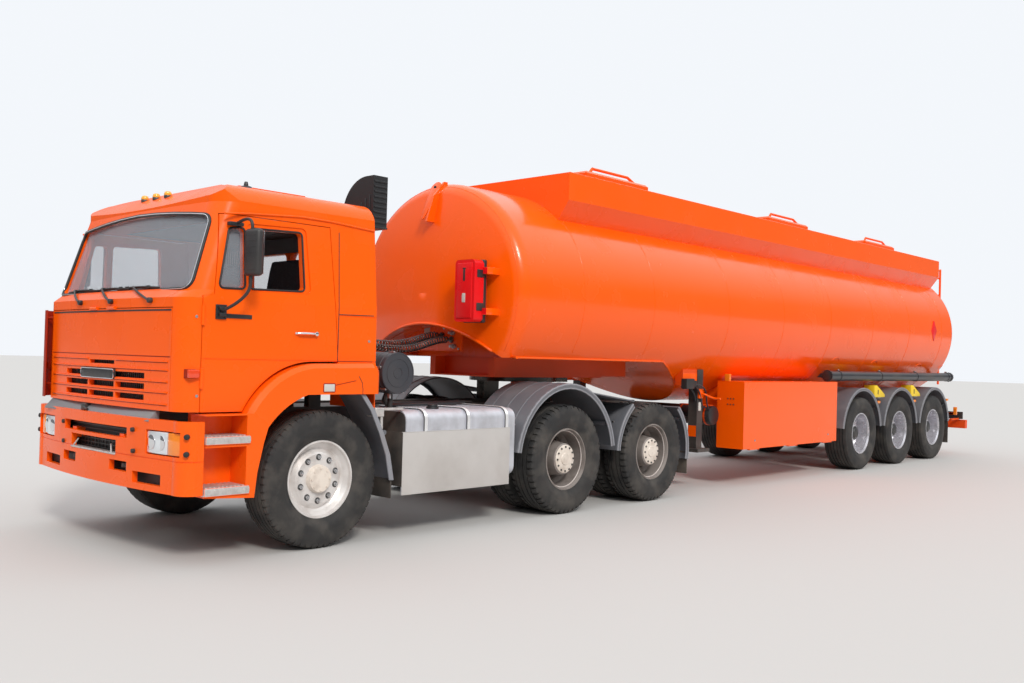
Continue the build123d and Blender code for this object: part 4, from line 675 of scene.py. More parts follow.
def arc(y: float, radius: float, start: float, end: float, x: float) -> list[Vector]:
    """Points on an arc about an axle, seen from the side.

    Args:
        y: Place of the axle.
        radius: Radius of the arc.
        start: First angle in degrees, 0 to the rear and 90 up.
        end: Last angle.
        x: Distance from the middle plane.

    Returns:
        Points in the model's own frame.
    """
    angles = [math.radians(start + (end - start) * n / 24) for n in range(25)]
    return [at(x, y + radius * math.cos(a), AXLE_Z + radius * math.sin(a)) for a in angles]


def rounded_loop(corners: Sequence[Point], radius: float, steps: int = 5) -> list[Point]:
    """Closed flat loop with its corners rounded.

    Args:
        corners: Corners in order, as pairs.
        radius: Radius of the corners.
        steps: Steps in each corner.

    Returns:
        Pairs along the loop.
    """
    found = []
    for n, corner in enumerate(corners):
        here = Vector(corner)
        back = (Vector(corners[n - 1]) - here).normalized()
        ahead = (Vector(corners[(n + 1) % len(corners)]) - here).normalized()
        reach = radius / math.tan(back.angle(ahead) / 2)
        first, last = here + back * reach, here + ahead * reach
        for t in (step / steps for step in range(steps + 1)):
            found.append(tuple((1 - t) ** 2 * first + 2 * t * (1 - t) * here + t ** 2 * last))
    return found


def rectangle(a: Point, b: Point) -> list[Point]:
    """Corners of a rectangle between two opposite ones, as pairs."""
    return [(a[0], a[1]), (b[0], a[1]), (b[0], b[1]), (a[0], b[1])]


@dataclass
class Studio:
    """Camera at the photograph's place, a pale floor and soft light."""

    place: tuple[float, float, float] = (7.380, -4.512, 1.508)
    heading: float = 43.307
    pitch: float = 0.902
    roll: float = 1.592
    lens: float = 34.554
    floor_colour: Colour = (0.50, 0.49, 0.475)
    backdrop: Colour = (0.90, 0.93, 0.97)
    sky: Colour = (0.95, 0.97, 1.0)
    sun_power: float = 1.9
    sun_way: tuple[float, float, float] = (-0.74, 0.36, -0.66)

    def camera(self) -> None:
        """Set the camera that the photograph was taken with."""
        a, p, r = (math.radians(v) for v in (self.heading, self.pitch, self.roll))
        forward = Vector((-math.sin(a) * math.cos(p), math.cos(a) * math.cos(p), math.sin(p)))
        right = Vector((math.cos(a), math.sin(a), 0))
        up = right.cross(forward)
        across = math.cos(r) * right + math.sin(r) * up
        upright = -math.sin(r) * right + math.cos(r) * up
        data = bpy.data.cameras.new("camera")
        data.lens = self.lens
        data.sensor_width = 36.0
        data.clip_start, data.clip_end = 0.1, 300.0
        camera = bpy.data.objects.new("camera", data)
        bpy.context.scene.collection.objects.link(camera)
        turn = Matrix((across, upright, -forward)).transposed().to_4x4()
        camera.matrix_world = Matrix.Translation(at(*self.place)) @ turn
        bpy.context.scene.camera = camera

    def floor(self) -> None:
        """Lay the pale floor."""
        shape = bmesh.new()
        bmesh.ops.create_grid(shape, x_segments=1, y_segments=1, size=120.0)
        data = bpy.data.meshes.new("floor")
        shape.to_mesh(data)
        shape.free()
        floor = bpy.data.objects.new("floor", data)
        bpy.context.scene.collection.objects.link(floor)
        material = bpy.data.materials.new("floor_paint")
        material.use_nodes = True
        shader = material.node_tree.nodes["Principled BSDF"]
        shader.inputs["Base Color"].default_value = (*self.floor_colour, 1)
        shader.inputs["Roughness"].default_value = 0.9
        data.materials.append(material)

    def light(self) -> None:
        """Light the object from a pale sky and one soft lamp high on the left."""
        world = bpy.data.worlds.new("studio")
        world.use_nodes = True
        graph = Nodes(world.node_tree)
        back = graph.node("Background", Color=(*self.backdrop, 1), Strength=1.0)
        split = graph.node("SeparateXYZ", Vector=graph.node("TexCoord").outputs["Generated"])
        rise = graph.node("MapRange", Value=split.outputs["Z"], From_Min=0.20, From_Max=0.62, To_Min=0.22,
                          To_Max=1.38)
        fill = graph.node("Background", Color=(*self.sky, 1), Strength=rise.outputs["Result"])
        mix = graph.node("MixShader", Fac=graph.node("LightPath").outputs["Is Camera Ray"])
        graph.feed(mix.inputs[1], fill.outputs["Background"])
        graph.feed(mix.inputs[2], back.outputs["Background"])
        graph.node("OutputWorld", Surface=mix.outputs["Shader"])
        bpy.context.scene.world = world
        lamp = bpy.data.lights.new("key", "SUN")
        lamp.energy = self.sun_power
        lamp.angle = math.radians(12)
        lamp.color = (1.0, 0.97, 0.92)
        key = bpy.data.objects.new("key", lamp)
        bpy.context.scene.collection.objects.link(key)
        key.matrix_world = Vector(self.sun_way).to_track_quat("-Z", "Y").to_matrix().to_4x4()
        bpy.context.scene.view_settings.view_transform = "Standard"


@dataclass
class AirHoses:
    """The two curly hoses from the cab's rear to the plate under the tank's front."""

    outside: float = 0.038
    hose: float = 0.0075
    turns_per_metre: float = 29.0
    plain_end: float = 0.04
    routes: tuple[tuple[Point, ...], ...] = (
        ((0.08, 0.52, 1.75), (0.08, 0.64, 1.75), (0.088, 0.8, 1.715), (0.098, 1.0, 1.65), (0.11, 1.22, 1.59),
         (0.118, 1.45, 1.555), (0.118, 1.68, 1.552), (0.108, 1.9, 1.59), (0.095, 2.08, 1.645),
         (0.09, 2.215, 1.668), (0.09, 2.32, 1.668)),
        ((-0.07, 0.52, 1.79), (-0.07, 0.65, 1.79), (-0.062, 0.83, 1.75), (-0.05, 1.04, 1.685),
         (-0.035, 1.26, 1.63), (-0.022, 1.48, 1.602), (-0.02, 1.7, 1.604), (-0.032, 1.91, 1.64),
         (-0.05, 2.09, 1.69), (-0.055, 2.215, 1.71), (-0.055, 2.32, 1.71)),
    )

    def centreline(self, route: Sequence[Point]) -> list[Vector]:
        """Points along the smooth route, none of them twice."""
        line = curve_mesh(curve_through([at(*place) for place in route], 60))
        points = [line.vertices[0].co.copy()]
        for vert in line.vertices:
            if (vert.co - points[-1]).length > 0.001:
                points.append(vert.co.copy())
        bpy.data.meshes.remove(line)
        return points

    def helix(self, line: Sequence[Vector]) -> list[Vector]:
        """Wind a helix about a line, with its first and last stretch running in to the middle.

        Args:
            line: Points of the centreline.

        Returns:
            Points of the hose's own centre.
        """
        lengths = [0.0]
        for a, b in zip(line, line[1:]):
            lengths.append(lengths[-1] + (b - a).length)
        total = lengths[-1]
        steps = int(total * self.turns_per_metre * 14)
        points = []
        n = 0
        for step in range(steps + 1):
            s = total * step / steps
            while n < len(line) - 2 and lengths[n + 1] < s:
                n += 1
            share = (s - lengths[n]) / max(1e-9, lengths[n + 1] - lengths[n])
            middle = line[n].lerp(line[n + 1], share)
            ahead = (line[min(n + 2, len(line) - 1)] - line[max(n - 1, 0)]).normalized()
            across = ahead.cross(UP).normalized()
            above = across.cross(ahead)
            opened = (min(s, total - s) - 0.4 * self.plain_end) / (1.6 * self.plain_end)
            reach = (self.outside - self.hose) * min(1.0, max(0.0, opened))
            turn = math.tau * self.turns_per_metre * s
            points.append(middle + reach * (math.cos(turn) * across + math.sin(turn) * above))
        return points

    def build(self) -> None:
        """Make both hoses between the tractor and the trailer as fixed meshes, in place of the CAD hoses."""
        for n, route in enumerate(self.routes, 1):
            points = self.helix(self.centreline(route))
            made = Piece(f"curly_hose_{n}").tube(points, self.hose, sides=1).thing(HOSE, 180)
            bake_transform(made)
            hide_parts(f"air_hose_{n}")


@dataclass(frozen=True)
class Tyre:
    """A truck tyre with its tread: ribs round it and lugs across its shoulders."""

    width: float
    grooves: tuple[float, ...]
    groove_size: float
    lugs: int
    columns: int
    lug_depth: float
    lug_reach: float
    radius: float = 0.530

    def profile(self) -> list[Point]:
        """Outline across the tyre, as (distance from its middle, radius), with the grooves round it."""
        half = self.width / 2
        crown = [(0.0, self.radius)]
        lip = self.groove_size / 2
        for place in self.grooves:
            top = self.radius - 0.010 * place ** 2
            foot = top - self.groove_size
            for along, radius in ((-lip, top), (-0.7 * lip, foot), (0.7 * lip, foot), (lip, top)):
                crown.append((place * half + along, radius))
        shoulder = ((0.80, 0.009), (0.87, 0.014), (0.905, 0.026))
        wall = ((0.93, 0.487), (0.955, 0.478), (0.985, 0.452), (0.997, 0.430), (0.999, 0.412), (0.985, 0.392),
                (0.990, 0.388), (0.955, 0.360), (0.90, 0.332), (0.855, 0.322), (0.84, 0.3125), (0.80, 0.3005),
                (0.72, 0.2985), (0.70, 0.312), (0.84, 0.40), (0.78, 0.485), (0.0, 0.500))
        right = crown + [(share * half, self.radius - drop) for share, drop in shoulder]
        right += [(share * half, radius) for share, radius in wall]
        return right + [(-x, r) for x, r in reversed(right[1:-1])]

    def build(self, name: str, body: str, centres: Sequence[Point], node: str) -> None:
        """Make the tyres of one node.

        Args:
            name: The piece's name.
            body: CAD body that it moves with.
            centres: Middle of each tyre, from the front axle.
            node: CAD node that it stands for.
        """
        piece = Piece(name)
        steps = self.lugs * self.columns
        for centre in centres:
            before = set(piece.mesh.faces)
            piece.lathe(self.profile(), centre, steps=steps)
            faces = [f for f in piece.mesh.faces if f not in before]
            self.cut_lugs(piece, faces, at(*centre), steps)
        piece.outward().done(body, RUBBER, [node], smooth=38)

    def cut_lugs(self, piece: Piece, faces: Sequence[bmesh.types.BMFace], middle: Vector, steps: int) -> None:
        """Press the gaps between the lugs into the shoulders."""
        sunk = []
        half = self.width / 2
        for face in faces:
            spot = face.calc_center_median() - middle
            reach = math.hypot(spot.y, spot.z)
            column = int(math.atan2(spot.z, spot.y) / math.tau * steps + steps) % self.columns
            share = abs(spot.x) / half
            if column or reach < 0.488 or not self.lug_reach <= share <= 0.955:
                continue
            if reach >= 0.506 or share >= 0.86:
                sunk.append(face)
        if not sunk:
            return
        pushed = bmesh.ops.extrude_face_region(piece.mesh, geom=sunk)["geom"]
        bmesh.ops.delete(piece.mesh, geom=sunk, context="FACES_ONLY")
        for vert in pushed:
            if isinstance(vert, bmesh.types.BMVert):
                spoke = Vector((0, vert.co.y - middle.y, vert.co.z - middle.z)).normalized()
                vert.co -= self.lug_depth * spoke


@dataclass
class Wheels:
    """All the wheels: tyres with their tread, nuts, hub caps, and hand holes drawn as dark discs of painted
    shade.
    """

    front_x: float = 1.025
    twin_x: tuple[float, float] = (0.7425, 1.0925)
    trailer_x: float = 1.0575
    nut_ring: float = 0.1675
    road: Tyre = Tyre(0.313, (0.16, 0.44, 0.70), 0.011, 58, 4, 0.008, 0.72)
    lugged: Tyre = Tyre(0.313, (0.20, 0.50), 0.013, 50, 3, 0.013, 0.55)
    ribbed: Tyre = Tyre(0.383, (0.13, 0.38, 0.63), 0.012, 60, 3, 0.004, 0.84)

    def nuts(self, name: str, body: str, finish: Finish, centre: Point, sign: int,
             sizes: tuple[float, float, float, float]) -> None:
        """Ring of ten hexagonal nuts with the ends of their studs.

        Args:
            name: The piece's name.
            body: CAD body that it moves with.
            finish: Its surface finish.
            centre: Middle of the wheel.
            sign: Side of the vehicle.
            sizes: Distance of the seat outwards from the wheel's middle, radius of the ring, radius
                across a nut's corners and height of a nut.
        """
        face, circle, size, height = sizes
        spots = ring(centre[1], centre[2], circle, 10, 0.5)
        start = centre[0] + sign * face
        piece = Piece(name).studs(spots, start - sign * 0.004, start + sign * height, size, 0.002, 6)
        piece.studs(spots, start + sign * height * 0.9, start + sign * (height + 0.009), size * 0.5, 0, 10)
        piece.done(body, finish)

    def rim_edge(self, name: str, body: str, centre: Point, sign: int) -> None:
        """Pale lip of a rim, and the thin ring inside it."""
        edge = Piece(name)
        for profile in (((0.104, 0.300), (0.1155, 0.308), (0.120, 0.304), (0.1185, 0.288), (0.106, 0.282)),
                        ((0.085, 0.277), (0.092, 0.279), (0.092, 0.271), (0.085, 0.269))):
            edge.lathe(profile, centre, sign, 72)
        edge.outward().done(body, RIM_EDGE)

    def front(self, side: str, sign: int) -> None:
        """Dress one front wheel."""
        body = f"wheel_front_{side}"
        x = sign * self.front_x
        centre = (x, 0.0, AXLE_Z)
        self.road.build(f"front_tyre_{side}", body, [centre], f"tyre_front_{side}")
        seats = Piece(f"front_stud_seats_{side}")
        spots = ring(0, AXLE_Z, self.nut_ring, 10, 0.5)
        seats.studs(spots, x + sign * 0.0905, x + sign * 0.094, 0.025, 0, 20)
        seats.done(body, DARK_STEEL)
        self.nuts(f"front_nuts_{side}", body, STEEL, centre, sign, (0.094, self.nut_ring, 0.017, 0.016))
        cap = Piece(f"front_hub_cap_{side}")
        cap.lathe([(0.086, 0.0), (0.086, 0.112), (0.118, 0.106), (0.128, 0.098), (0.131, 0.05), (0.131, 0.0)],
                  centre, sign, 48, closed=False)
        cap.studs(ring(0, AXLE_Z, 0.082, 8), x + sign * 0.128, x + sign * 0.135, 0.009, 0, 6)
        cap.outward().done(body, HUB_CREAM)
        self.rim_edge(f"front_rim_edge_{side}", body, centre, sign)

    def twin(self, n: int, y: float, side: str, sign: int) -> None:
        """Dress one pair of twin wheels."""
        body = f"wheels_drive_{n}_{side}"
        centres = [(sign * x, y, AXLE_Z) for x in self.twin_x]
        self.lugged.build(f"drive_tyres_{n}_{side}", body, centres, f"tyres_drive_{n}_{side}")
        centre = centres[1]
        cap = Piece(f"drive_hub_{n}_{side}")
        cap.lathe([(0.100, 0.0), (0.100, 0.1375), (0.108, 0.1375), (0.113, 0.130), (0.113, 0.062),
                   (0.121, 0.055), (0.121, 0.0)], centre, sign, 48, closed=False)
        cap.outward().done(body, HUB_CREAM)
        bolts = Piece(f"drive_hub_bolts_{n}_{side}")
        x = centre[0]
        bolts.studs(ring(y, AXLE_Z, 0.118, 12), x + sign * 0.111, x + sign * 0.121, 0.010, 0, 6)
        bolts.done(body, DARK_STEEL)
        self.nuts(f"drive_nuts_{n}_{side}", body, DARK_STEEL, centre, sign, (-0.149, 0.200, 0.014, 0.022))
        self.rim_edge(f"drive_rim_edge_{n}_{side}", body, centre, sign)

    def trailer(self, n: int, y: float, side: str, sign: int) -> None:
        """Dress one wheel of the trailer."""
        body = f"wheel_trailer_{n}_{side}"
        x = sign * self.trailer_x
        centre = (x, y, AXLE_Z)
        self.ribbed.build(f"trailer_tyre_{n}_{side}", body, [centre], f"tyre_trailer_{n}_{side}")
        shape = (-0.060, self.nut_ring, 0.016, 0.020)
        self.nuts(f"trailer_nuts_{n}_{side}", body, STEEL, centre, sign, shape)
        cap = Piece(f"trailer_hub_{n}_{side}")
        cap.lathe([(0.066, 0.0), (0.066, 0.100), (0.074, 0.098), (0.078, 0.080), (0.090, 0.074),
                   (0.096, 0.062), (0.096, 0.0)], centre, sign, 40, closed=False)
        cap.outward().done(body, DARK_STEEL)
        # Painted shade: dark discs on the rim for its hand holes, which are not cut.
        holes = Piece(f"trailer_hand_holes_{n}_{side}")
        holes.studs(ring(y, AXLE_Z, 0.2385, 10), x - sign * 0.053, x - sign * 0.041, 0.021, 0, 20)
        holes.done(body, SOFT_RUBBER)

    def build(self) -> None:
        """Dress every wheel."""
        for side, sign in SIDES:
            self.front(side, sign)
            for n, y in enumerate(DRIVE_AXLES, 1):
                self.twin(n, y, side, sign)
            for n, y in enumerate(TRAILER_AXLES, 1):
                self.trailer(n, y, side, sign)


NODE_FINISHES = {
    CAB_PAINT: "cab_shell cab_roof front_panel door_left door_right bumper wheel_arches",
    TANK_PAINT: "tank_shell top_boards manhole_boxes tool_box tool_box_door",
    FRAME_PAINT: "trailer_chassis",
    CHASSIS_BLACK: "tractor_chassis air_tanks landing_legs",
    CAST_IRON: "engine_block knuckle_left knuckle_right",
    GLASS: "cab_glass door_glass_left door_glass_right",
    BLACK_PLASTIC: "mirror_left mirror_right air_intake",
    FENDER: "mudguards trailer_mudguards",
    INTERIOR: "cab_interior",
    CLEAR_LENS: "lamps",
    ALUMINIUM: "fuel_tank",
    GREASE: "fifth_wheel",
    HOSE_PIPE: "hose_tube",
    RED_PLASTIC: "extinguisher_box",
    FRONT_RIM: "rim_front_left rim_front_right",
}


def finish_solids(frame: dict) -> None:
    """Give each CAD node its finish; the wheels' rims go by their axle."""
    known = {name: finish for finish, names in NODE_FINISHES.items() for name in names.split()}
    for name, node in frame["nodes"].items():
        finish = known.get(name, RUBBER)
        if name.startswith("rims_drive"):
            finish = DRIVE_RIM
        elif name.startswith("rim_trailer"):
            finish = TRAILER_RIM
        node.data.materials.clear()
        node.data.materials.append(finish.material())


@dataclass
class CabFront:
    """Windscreen trim, wipers, ribs, grille and blank name plate on the cab's front."""

    skin: Surface
    lid: Surface
    screen: tuple[Point, ...] = ((-1.060, 1.925), (1.060, 1.925), (1.025, 2.455), (-1.025, 2.455))
    wipers: tuple[tuple[float, ...], ...] = ((-0.40, -0.751, -0.886, -0.28), (0.144, -0.201, -0.326, 0.25),
                                             (0.724, 0.315, 0.054, 0.683))
    rib_zs: tuple[float, ...] = (1.4035, 1.345, 1.263, 1.187, 1.1045)

    def band(self, piece: Piece, low_x: float, high_x: float, z: float, height: float, proud: float) -> None:
        """Add a strip that follows the bowed lid.

        Args:
            piece: Piece that it is added to.
            low_x: Its right end.
            high_x: Its left end.
            z: Its lower edge.
            height: Its height.
            proud: How far it stands out.
        """
        count = max(2, int((high_x - low_x) / 0.08))
        step = (high_x - low_x) / count
        spots = [self.lid.front(low_x + step * n, z + height / 2) for n in range(count + 1)]
        piece.strip(spots, z, height, proud, 0.006, 0.0015)

    def seal(self) -> None:
        """Black rubber round the windscreen, with the bright strip let into it."""
        corner_x, top_z = self.screen[2]

        def crown(x: float) -> float:
            """How much the windscreen's top edge rises above its corners."""
            return 0.058 * (1 - (x / corner_x) ** 2)

        outline = [(x, z + crown(x) if z > 2.4 else z) for x, z in rounded_loop(self.screen, 0.075, 6)]
        corner = max(n for n, (x, z) in enumerate(outline) if x > 0 and z > 2.3) + 1
        outline[corner:corner] = [(x, top_z + crown(x)) for x in (0.8, 0.55, 0.28, 0.0, -0.28, -0.55, -0.8)]
        spots = []
        for x, z in outline:
            out = Vector((x, z - 2.2)).normalized() * 0.011
            spots.append(self.skin.front(x + out.x, z + out.y))
        Piece("windscreen_seal").tube(spots, 0.0135, closed=True).done("tractor", SOFT_RUBBER, smooth=60)
        bright = [p - 0.012 * REARWARD for p in spots]
        strip = Piece("windscreen_strip").tube(bright, 0.0035, closed=True, sides=1)
        strip.done("tractor", CHROME, smooth=60)

    def wiper_set(self) -> None:
        """Three wipers: pivots, arms and blades lying along the foot of the glass."""
        arms, blades = Piece("wiper_arms"), Piece("wiper_blades")
        for pivot, tip, start, end in self.wipers:
            root = self.skin.front(pivot, 1.840, 0.018)
            y = root.y - FRONT_AXLE_Y
            arms.rod((root.x, y + 0.02, 1.840), (root.x, y - 0.012, 1.840), 0.020, 0.004, 14)
            knee = self.skin.front((pivot + tip) / 2, 1.897, 0.042)
            grip = self.skin.front(tip, 1.950, 0.030)
            arms.tube([root - 0.006 * REARWARD, knee, grip], 0.0085, smooth=True, sides=2)
            spine = [self.skin.front(start + (end - start) * t, 1.938 + 0.012 * math.sin(math.pi * t), 0.022)
                     for t in (0, 0.25, 0.5, 0.75, 1)]
            blades.tube(spine, 0.0065, smooth=True, sides=2)
            blades.tube([p + Vector((0, 0.006, -0.010)) for p in spine], 0.005, smooth=True, sides=1)
            for t in (0.25, 0.75):
                clip = self.skin.front(start + (end - start) * t, 1.948, 0.018)
                y = clip.y - FRONT_AXLE_Y
                blades.box((clip.x - 0.02, y - 0.012, 1.935), (clip.x + 0.02, y + 0.004, 1.957), 0.003)
        arms.done("tractor", BLACK_PLASTIC)
        blades.done("tractor", SOFT_RUBBER)

    def panel(self) -> None:
        """Ribs with painted shade lines under them and along the crease, dark strip and blank name plate on
        the lid, and the radiator behind its slots.
        """
        ribs, shades = Piece("lid_ribs"), Piece("lid_rib_shades")
        for z in self.rib_zs:
            gap = 0.235 if z > 1.36 else 0.0
            for low, high in ((-0.965, -gap), (gap, 0.965)):
                self.band(ribs, low, high, z, 0.012, 0.007)
                # Painted shade: a thin dark-red line under each rib.
                self.band(shades, low, high, z - 0.005, 0.005, 0.002)
        # Painted shade: a thin dark-red line along the lid's crease.
        self.band(shades, -0.990, 0.990, 1.441, 0.006, 0.001)
        ribs.done("front_lid", CAB_PAINT)
        shades.done("front_lid", SHADE_PAINT)
        strip = Piece("lid_top_strip")
        self.band(strip, -0.990, 0.990, 1.764, 0.012, 0.003)
        strip.done("front_lid", SOFT_RUBBER)
        spots = [self.lid.front(-0.335 + 0.57 * n / 8, 1.345) for n in range(9)]
        plate = Piece("blank_name_plate").strip(spots, 1.262, 0.076, 0.016, 0.004, 0.004)
        plate.done("front_lid", BLACK_PLASTIC)
        loop = [self.lid.front(x, 1.345, 0.016) + (z - 1.345) * UP
                for x, z in rounded_loop(rectangle((-0.333, 1.265), (0.233, 1.335)), 0.02)]
        Piece("name_plate_rim").tube(loop, 0.0035, closed=True, sides=1).done("front_lid", CHROME)
        spots = [self.lid.front(-0.72 + 0.09 * n, 1.45, -0.0475) for n in range(17)]
        Piece("radiator_core").strip(spots, 1.115, 0.30, 0.0, 0.004).done("tractor", SOFT_RUBBER)
        fins = Piece("radiator_fins")
        for n in range(45):
            spot = self.lid.front(0.030 * n - 0.66, 1.45, -0.044)
            y = spot.y - FRONT_AXLE_Y
            fins.box((spot.x - 0.002, y - 0.004, 1.12), (spot.x + 0.002, y + 0.003, 1.41))
        fins.done("tractor", DARK_STEEL)

    def underside(self) -> None:
        """Grey panel between the lid and the bumper, with the lid's latch."""
        section = ((-1.236, 0.984), (-1.232, 0.996), (-1.168, 1.070), (-1.150, 1.070), (-1.150, 0.984))
        panel = Piece("grey_front_panel")
        panel.slab([at(-0.99, y, z) for y, z in section], Vector((1.80, 0, 0)), edge=0.003)
        panel.done("tractor", GREY_PANEL)
        plain("lid_latch", "tractor", DARK_STEEL, [((-0.30, -1.232, 0.998), (-0.24, -1.160, 1.060), 0.004)],
              [((-0.27, -1.225, 1.03), (-0.19, -1.230, 1.015), 0.010, 0, 10)])

    def far_deflector(self) -> None:
        """Curved plate that stands off the cab's right front corner, coloured in painted shade: a dark-red
        copy of the cab's orange.
        """
        outline = [(-1.020, -1.228), (-1.08, -1.222), (-1.155, -1.185), (-1.200, -1.120), (-1.208, -1.060),
                   (-1.202, -1.060), (-1.194, -1.116), (-1.150, -1.178), (-1.078, -1.214), (-1.020, -1.220)]
        plate = Piece("right_corner_deflector")
        plate.slab([at(x, y, 1.075) for x, y in outline], 0.715 * UP, edge=0.0015)
        for z in (1.178, 1.727):
            plate.rod((-1.14, -1.185, z), (-1.11, -1.14, z), 0.012, 0, 10)
        # Painted shade: the far plate is dark red for the shade on it, though its paint is the cab's orange.
        plate.done("tractor", SHADE_PAINT)

    def build(self) -> None:
        """Make everything on the front."""
        self.seal()
        self.wiper_set()
        self.panel()
        self.underside()
        self.far_deflector()


@dataclass
class CabSides:
    """Handles, seals, blank plates, gutters, steps, mirrors and bolts on the cab's sides."""

    skin: Surface
    quarter: tuple[Point, ...] = ((-0.915, 1.943), (-0.712, 1.948), (-0.718, 2.378), (-0.836, 2.364))
    window: tuple[Point, ...] = ((-0.662, 1.950), (-0.200, 1.962), (-0.225, 2.395), (-0.666, 2.380))
    gutter: tuple[Point, ...] = ((-0.895, 2.462), (-0.67, 2.490), (-0.24, 2.519), (0.05, 2.516),
                                 (0.465, 2.490))
    mirror_arm: tuple[Point, ...] = (
        (1.172, -0.900, 1.775), (1.235, -0.872, 1.800), (1.305, -0.815, 1.865), (1.338, -0.783, 1.930),
        (1.342, -0.778, 2.02), (1.342, -0.778, 2.35), (1.335, -0.780, 2.405), (1.300, -0.785, 2.428),
        (1.240, -0.790, 2.425), (1.175, -0.795, 2.405), (1.140, -0.795, 2.398))

    def seals(self, side: str, sign: int) -> None:
        """Rubber in the frames of the two side windows."""
        rubber = Piece(f"window_rubber_{side}")
        for outline in (self.quarter, self.window):
            middle = Vector((sum(p[0] for p in outline) / 4, sum(p[1] for p in outline) / 4))
            points = []
            for y, z in rounded_loop(outline, 0.036):
                out = (Vector((y, z)) - middle).normalized() * 0.007
                points.append(self.skin.side(sign, y + out.x, z + out.y))
            rubber.tube(points, 0.008, closed=True, sides=1)
        rubber.done(f"{side}_door", SOFT_RUBBER, smooth=60)

    def hardware(self, side: str, sign: int) -> None:
        """Door handle with its lock, and the blank plate below the mirror."""
        x = self.skin.side(sign, -0.19, 1.645).x
        out = x + sign * 0.026
        grip = [at(x, -0.272, 1.640), at(out, -0.262, 1.641), at(out, -0.19, 1.643), at(out, -0.118, 1.641),
                at(x, -0.105, 1.640)]
        handle = Piece(f"door_handle_{side}").tube(grip, 0.0105, smooth=True)
        handle.studs([(-0.098, 1.641)], x, x + sign * 0.028, 0.017, 0.004, 20)
        handle.done(f"{side}_door", CHROME)
        plain(f"blank_door_plate_{side}", f"{side}_door", BLACK_PLASTIC,
              [((x, -0.859, 1.727), (x + sign * 0.006, -0.652, 1.757), 0.0015)])

    def mirror(self, side: str, sign: int) -> None:
        """Mirror on its looped arm, with its glass facing the rear."""
        body = f"{side}_door"
        turn = Matrix.Rotation(math.radians(14 * sign), 3, "Z")
        x, y, z = sign * 1.36, -0.775, 2.188
        shell = Piece(f"mirror_shell_{side}")
        shell.box((x - 0.072, y - 0.032, z - 0.166), (x + 0.072, y + 0.032, z + 0.166), 0.026, turn)
        for n in range(7):
            low = z - 0.123 + 0.04 * n
            shell.box((x - 0.055, y - 0.0345, low), (x + 0.055, y - 0.025, low + 0.006), 0.001, turn)
        shell.done(body, BLACK_PLASTIC, [f"mirror_{side}"])
        arm = Piece(f"mirror_arm_{side}")
        arm.tube([at(sign * px, py, pz) for px, py, pz in self.mirror_arm], 0.0115, smooth=True)
        for low, high, edge in (((1.323, -0.800, 2.042), (1.367, -0.758, 2.078), 0.004),
                                ((1.323, -0.800, 2.302), (1.367, -0.758, 2.338), 0.004),
                                ((1.135, -0.860, 2.385), (1.175, -0.745, 2.411), 0.004),
                                ((1.161, -0.942, 1.716), (1.170, -0.858, 1.819), 0.003),
                                ((1.168, -0.925, 1.735), (1.196, -0.875, 1.760), 0.004),
                                ((1.168, -0.925, 1.780), (1.196, -0.875, 1.803), 0.004)):
            arm.box((sign * low[0], *low[1:]), (sign * high[0], *high[1:]), edge)
        arm.studs(rectangle((-0.93, 1.728), (-0.87, 1.808)), sign * 1.168, sign * 1.176, 0.007, 0, 6)
        arm.done(body, BLACK_PLASTIC)
        glass = Piece(f"mirror_glass_{side}")
        glass.box((x - 0.058, y + 0.0305, z - 0.150), (x + 0.058, y + 0.0335, z + 0.150), 0.001, turn)
        glass.done(body, CHROME)

    def gutters_and_steps(self) -> None:
        """Gutters under the roof, and the silver treads of the steps with their raised bars."""
        gutter = [self.skin.side(1, y, z - 0.012, 0.004) + 0.012 * UP for y, z in self.gutter]
        Piece("roof_gutters").tube(gutter, 0.008, sides=2).mirrored().done("tractor", CAB_PAINT, smooth=60)
        steps = Piece("step_treads")
        for low, high in ((0.845, 0.900), (0.490, 0.548)):
            steps.box((1.026, -1.040, low - 0.001), (1.2635, -0.688, high + 0.001), 0.008)
            for n in range(11):
                y = -1.020 + 0.032 * n
                steps.box((1.05, y - 0.006, high), (1.250, y + 0.006, high + 0.006), 0.002)
                steps.box((1.2605, y - 0.009, low + 0.014), (1.2665, y + 0.009, high - 0.014), 0.002)
        steps.mirrored().done("tractor", GALVANISED)

    def trim(self) -> None:
        """Bolts, seams, and the small marker in the flare with painted shade lines round it, on both sides.
        """
        bolts = Piece("cab_side_bolts")
        for y, z in ((-1.075, 1.727), (-1.060, 1.178), (0.42, 1.60)):
            x = self.skin.side(1, y, z).x
            bolts.studs([(y, z)], x - 0.002, x + 0.005, 0.011, 0.002)
            bolts.studs([(y, z)], x + 0.005, x + 0.008, 0.006, 0, 6)
        bolts.mirrored().done("tractor", STEEL)
        plain("flare_marker", "tractor", PALE_LABEL, both=True,
              boxes=[((1.2495, -0.066, 1.207), (1.2525, 0.032, 1.263), 0.001)])
        # Painted shade: dark-red lines round the marker and running rearwards from it.
        frame = Piece("flare_marker_frame")
        loop = rounded_loop(rectangle((-0.070, 1.203), (0.036, 1.267)), 0.006, 2)
        frame.tube([at(1.2512, y, z) for y, z in loop], 0.0035, closed=True, sides=1)
        frame.tube([at(FLARE_X, 0.04, 1.255), at(FLARE_X, 0.235, 1.290)], 0.003, sides=1)
        frame.mirrored().done("tractor", SHADE_PAINT)
        seam = Piece("flare_seam")
        line = ((0.262, 1.325), (0.295, 1.275), (0.304, 1.225), (0.304, 1.184))
        seam.tube([at(FLARE_X, y, z) for y, z in line], 0.0025, sides=1)
        for z, long, high in ((1.800, 0.374, 0.006), (1.44, 0.0, 1.0), (1.437, 0.376, 0.0)):
            points = [self.skin.side(1, 0.118 + long * n / 12, z + high * n / 12) for n in range(13)]
            seam.tube(points, 0.0035, sides=1)
        seam.mirrored().done("tractor", SOFT_RUBBER)

